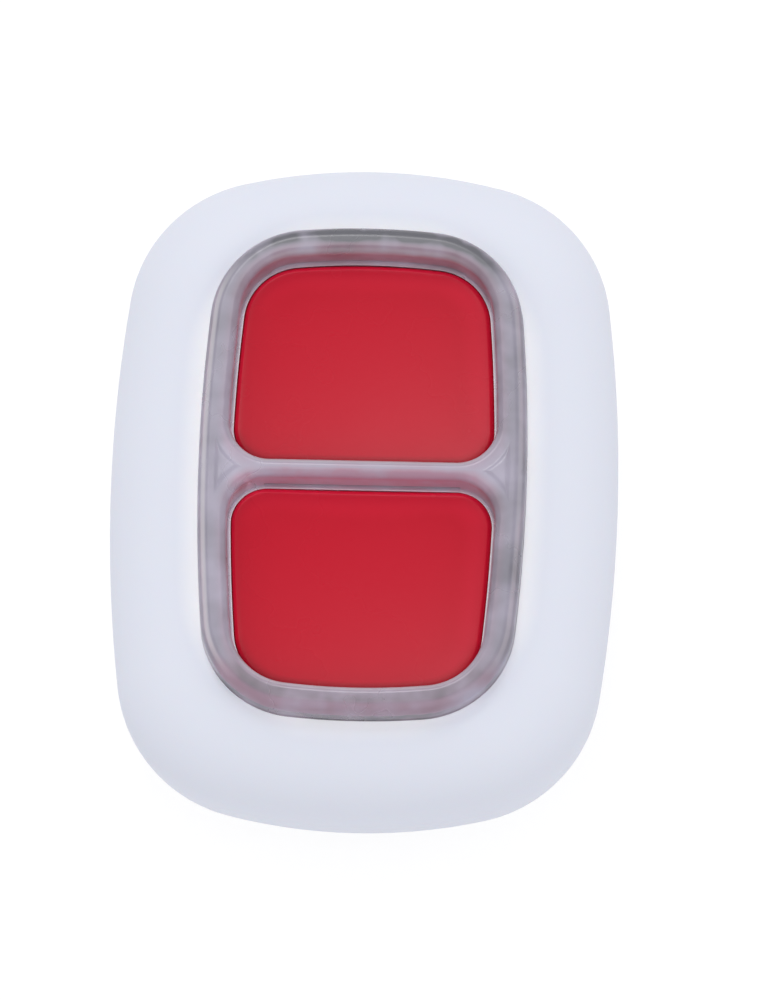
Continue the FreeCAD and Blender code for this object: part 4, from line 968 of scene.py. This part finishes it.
def keyFace(points, normals, sign):
    # rows from the middle of the dish to the outline, the rounded edge last
    radius, centre, rows = key["edgeRound"], np.array((0, key["middle"])), key["rows"]
    turn = np.linspace(math.pi / 2, 0, rows["edgeRound"])[:, None]
    inset = points - radius * normals
    dish = centre + np.linspace(0, 1, rows["dish"] + 1)[:-1, None, None] * (inset - centre)
    edge = points - (radius * (1 - np.cos(turn)))[..., None] * normals
    face = np.concatenate((dish, edge))
    drop = np.concatenate((np.zeros((rows["dish"], 1)), radius * (1 - np.sin(turn))))
    height = dishHeight(face[..., 0], face[..., 1]) - drop

    # painted light and shade: the rounded edge has a painted highlight on the left and at the far end,
    # painted shade on the other two sides, and a painted dark outermost line but for the far end; the face
    # has painted light towards the far end and the right, and painted shade just inside the near edge
    toFar, toLeft = normals[:, 1] * sign, -normals[:, 0] * sign
    far, near, left, right = (np.clip(value, 0, 1) for value in (toFar, -toFar, toLeft, -toLeft))
    lit = toFar + key["leftLight"] * toLeft
    lit = np.where(lit > 0, lit, key["darkSides"] * lit)
    slope = np.concatenate((np.zeros(rows["dish"]), np.cos(turn[:, 0]) ** key["slopePower"]))[:, None]
    outermost = key["farLine"] * far ** 2 - key["line"]
    lit = np.where(slope < key["lineSlope"] - key["leftSlope"] * left, lit * slope, outermost)
    depth = np.linalg.norm(points - face, axis=-1)
    paler = key["farFace"] * far + key["rightFace"] * right
    lit = lit + paler * (1 - softStep(depth, key["faceStart"], key["faceFade"]))
    lit = lit - key["nearFace"] * near * (1 - softStep(depth, key["nearStart"], key["nearFade"]))
    return np.concatenate((face, height[..., None], lit[..., None]), -1)


def makeKey(name, body, replaced, sign):
    # the lower key is the upper one turned half round, so sign is 1 for the upper key and -1 for the lower
    centre, rows = np.array((0, key["middle"])), key["rows"]
    points, normals = cellOutline(keyShape, rows["outline"])[:2]
    flange = cellOutline(grownKey(key["flange"], 0.0), rows["outline"])[0]
    hollow = cellOutline(grownKey(-key["wall"], -key["wall"]), rows["outline"])[0]
    foot, ceiling, flangeTop = key["foot"], key["ceiling"], key["flangeTop"]
    side = [level(points, height) for height in np.linspace(key["sideTop"], flangeTop, rows["side"])]
    under = [level(flange, flangeTop), level(flange, foot), level(hollow, foot), level(hollow, ceiling)]
    roof = level(centre + np.linspace(1, 0, rows["roof"])[1:, None, None] * (hollow - centre), ceiling)
    rest = np.concatenate((np.array(side), np.array(under), roof))
    skin = np.concatenate((keyFace(points, normals, sign), unmarked(rest, 1)))
    parts = [(skin, gridFaces(*skin.shape[:2]))]
    outer, bore = key["landing"]
    stem, tip, stemFoot, top = key["stem"], key["stemTip"], key["stemFoot"], ceiling + key["overlap"]
    ringProfile = [(bore, top), (outer, top), (outer, foot), (bore, foot), (bore, top)]
    stemProfile = [(0, top), (stem, top), (stem, stemFoot + tip), (stem - tip, stemFoot), (0, stemFoot)]
    for profile in (ringProfile, stemProfile):
        grid, faces = turnedForm(profile, centre)
        parts.append((unmarked(grid, 1), faces))
    turned = np.array((sign, sign, 1, 1))
    parts = [(grid * turned, faces) for grid, faces in parts]
    meshPiece(name, parts, body, replaced, "key_red", ("edgeLight",))


boot = {
    "foot": 6.4, "footRadius": 6.375, "web": 0.45, "head": 9.85, "headRadius": 5.675, "headWidth": 1.0,
    "headHeight": 0.7, "soft": 0.1, "keep": 0.855,
}


def makeBoot(name, replaced, sign):
    # silicone boot, at rest: a sloping web from the board up to a ring under the key; the real one gives as
    # the key goes down
    outer, head, soft = boot["headRadius"], boot["head"], boot["soft"]
    inner, shoulder = outer - boot["headWidth"], head - boot["headHeight"]
    profile = [(boot["footRadius"] - boot["web"], boot["foot"]), (boot["footRadius"], boot["foot"]),
               (outer, shoulder), (outer, head - soft), (outer - soft, head), (inner + soft, head),
               (inner, head - soft), (inner, shoulder)]
    middle = sign * key["middle"]
    part = turnedForm([*profile, profile[0]], (0, middle))
    piece = meshPiece(name, [part], "housing", replaced, "boot_silicone")
    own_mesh(piece)


makeCamera()
print("camera set")
materials = makeMaterials()
print("materials made")
makeDivider()
print("divider made")
makeKey("upperKey", "upper_key", "upper_button", 1)
makeKey("lowerKey", "lower_key", "lower_button", -1)
print("keys made")
makeBoot("upperBoot", "upper_return_boot", 1)
makeBoot("lowerBoot", "lower_return_boot", -1)
print("boots made")
makeRoom()
makeFloor()
makeLamps()
print("floor and lamps placed")

scene.view_settings.view_transform = "Standard"
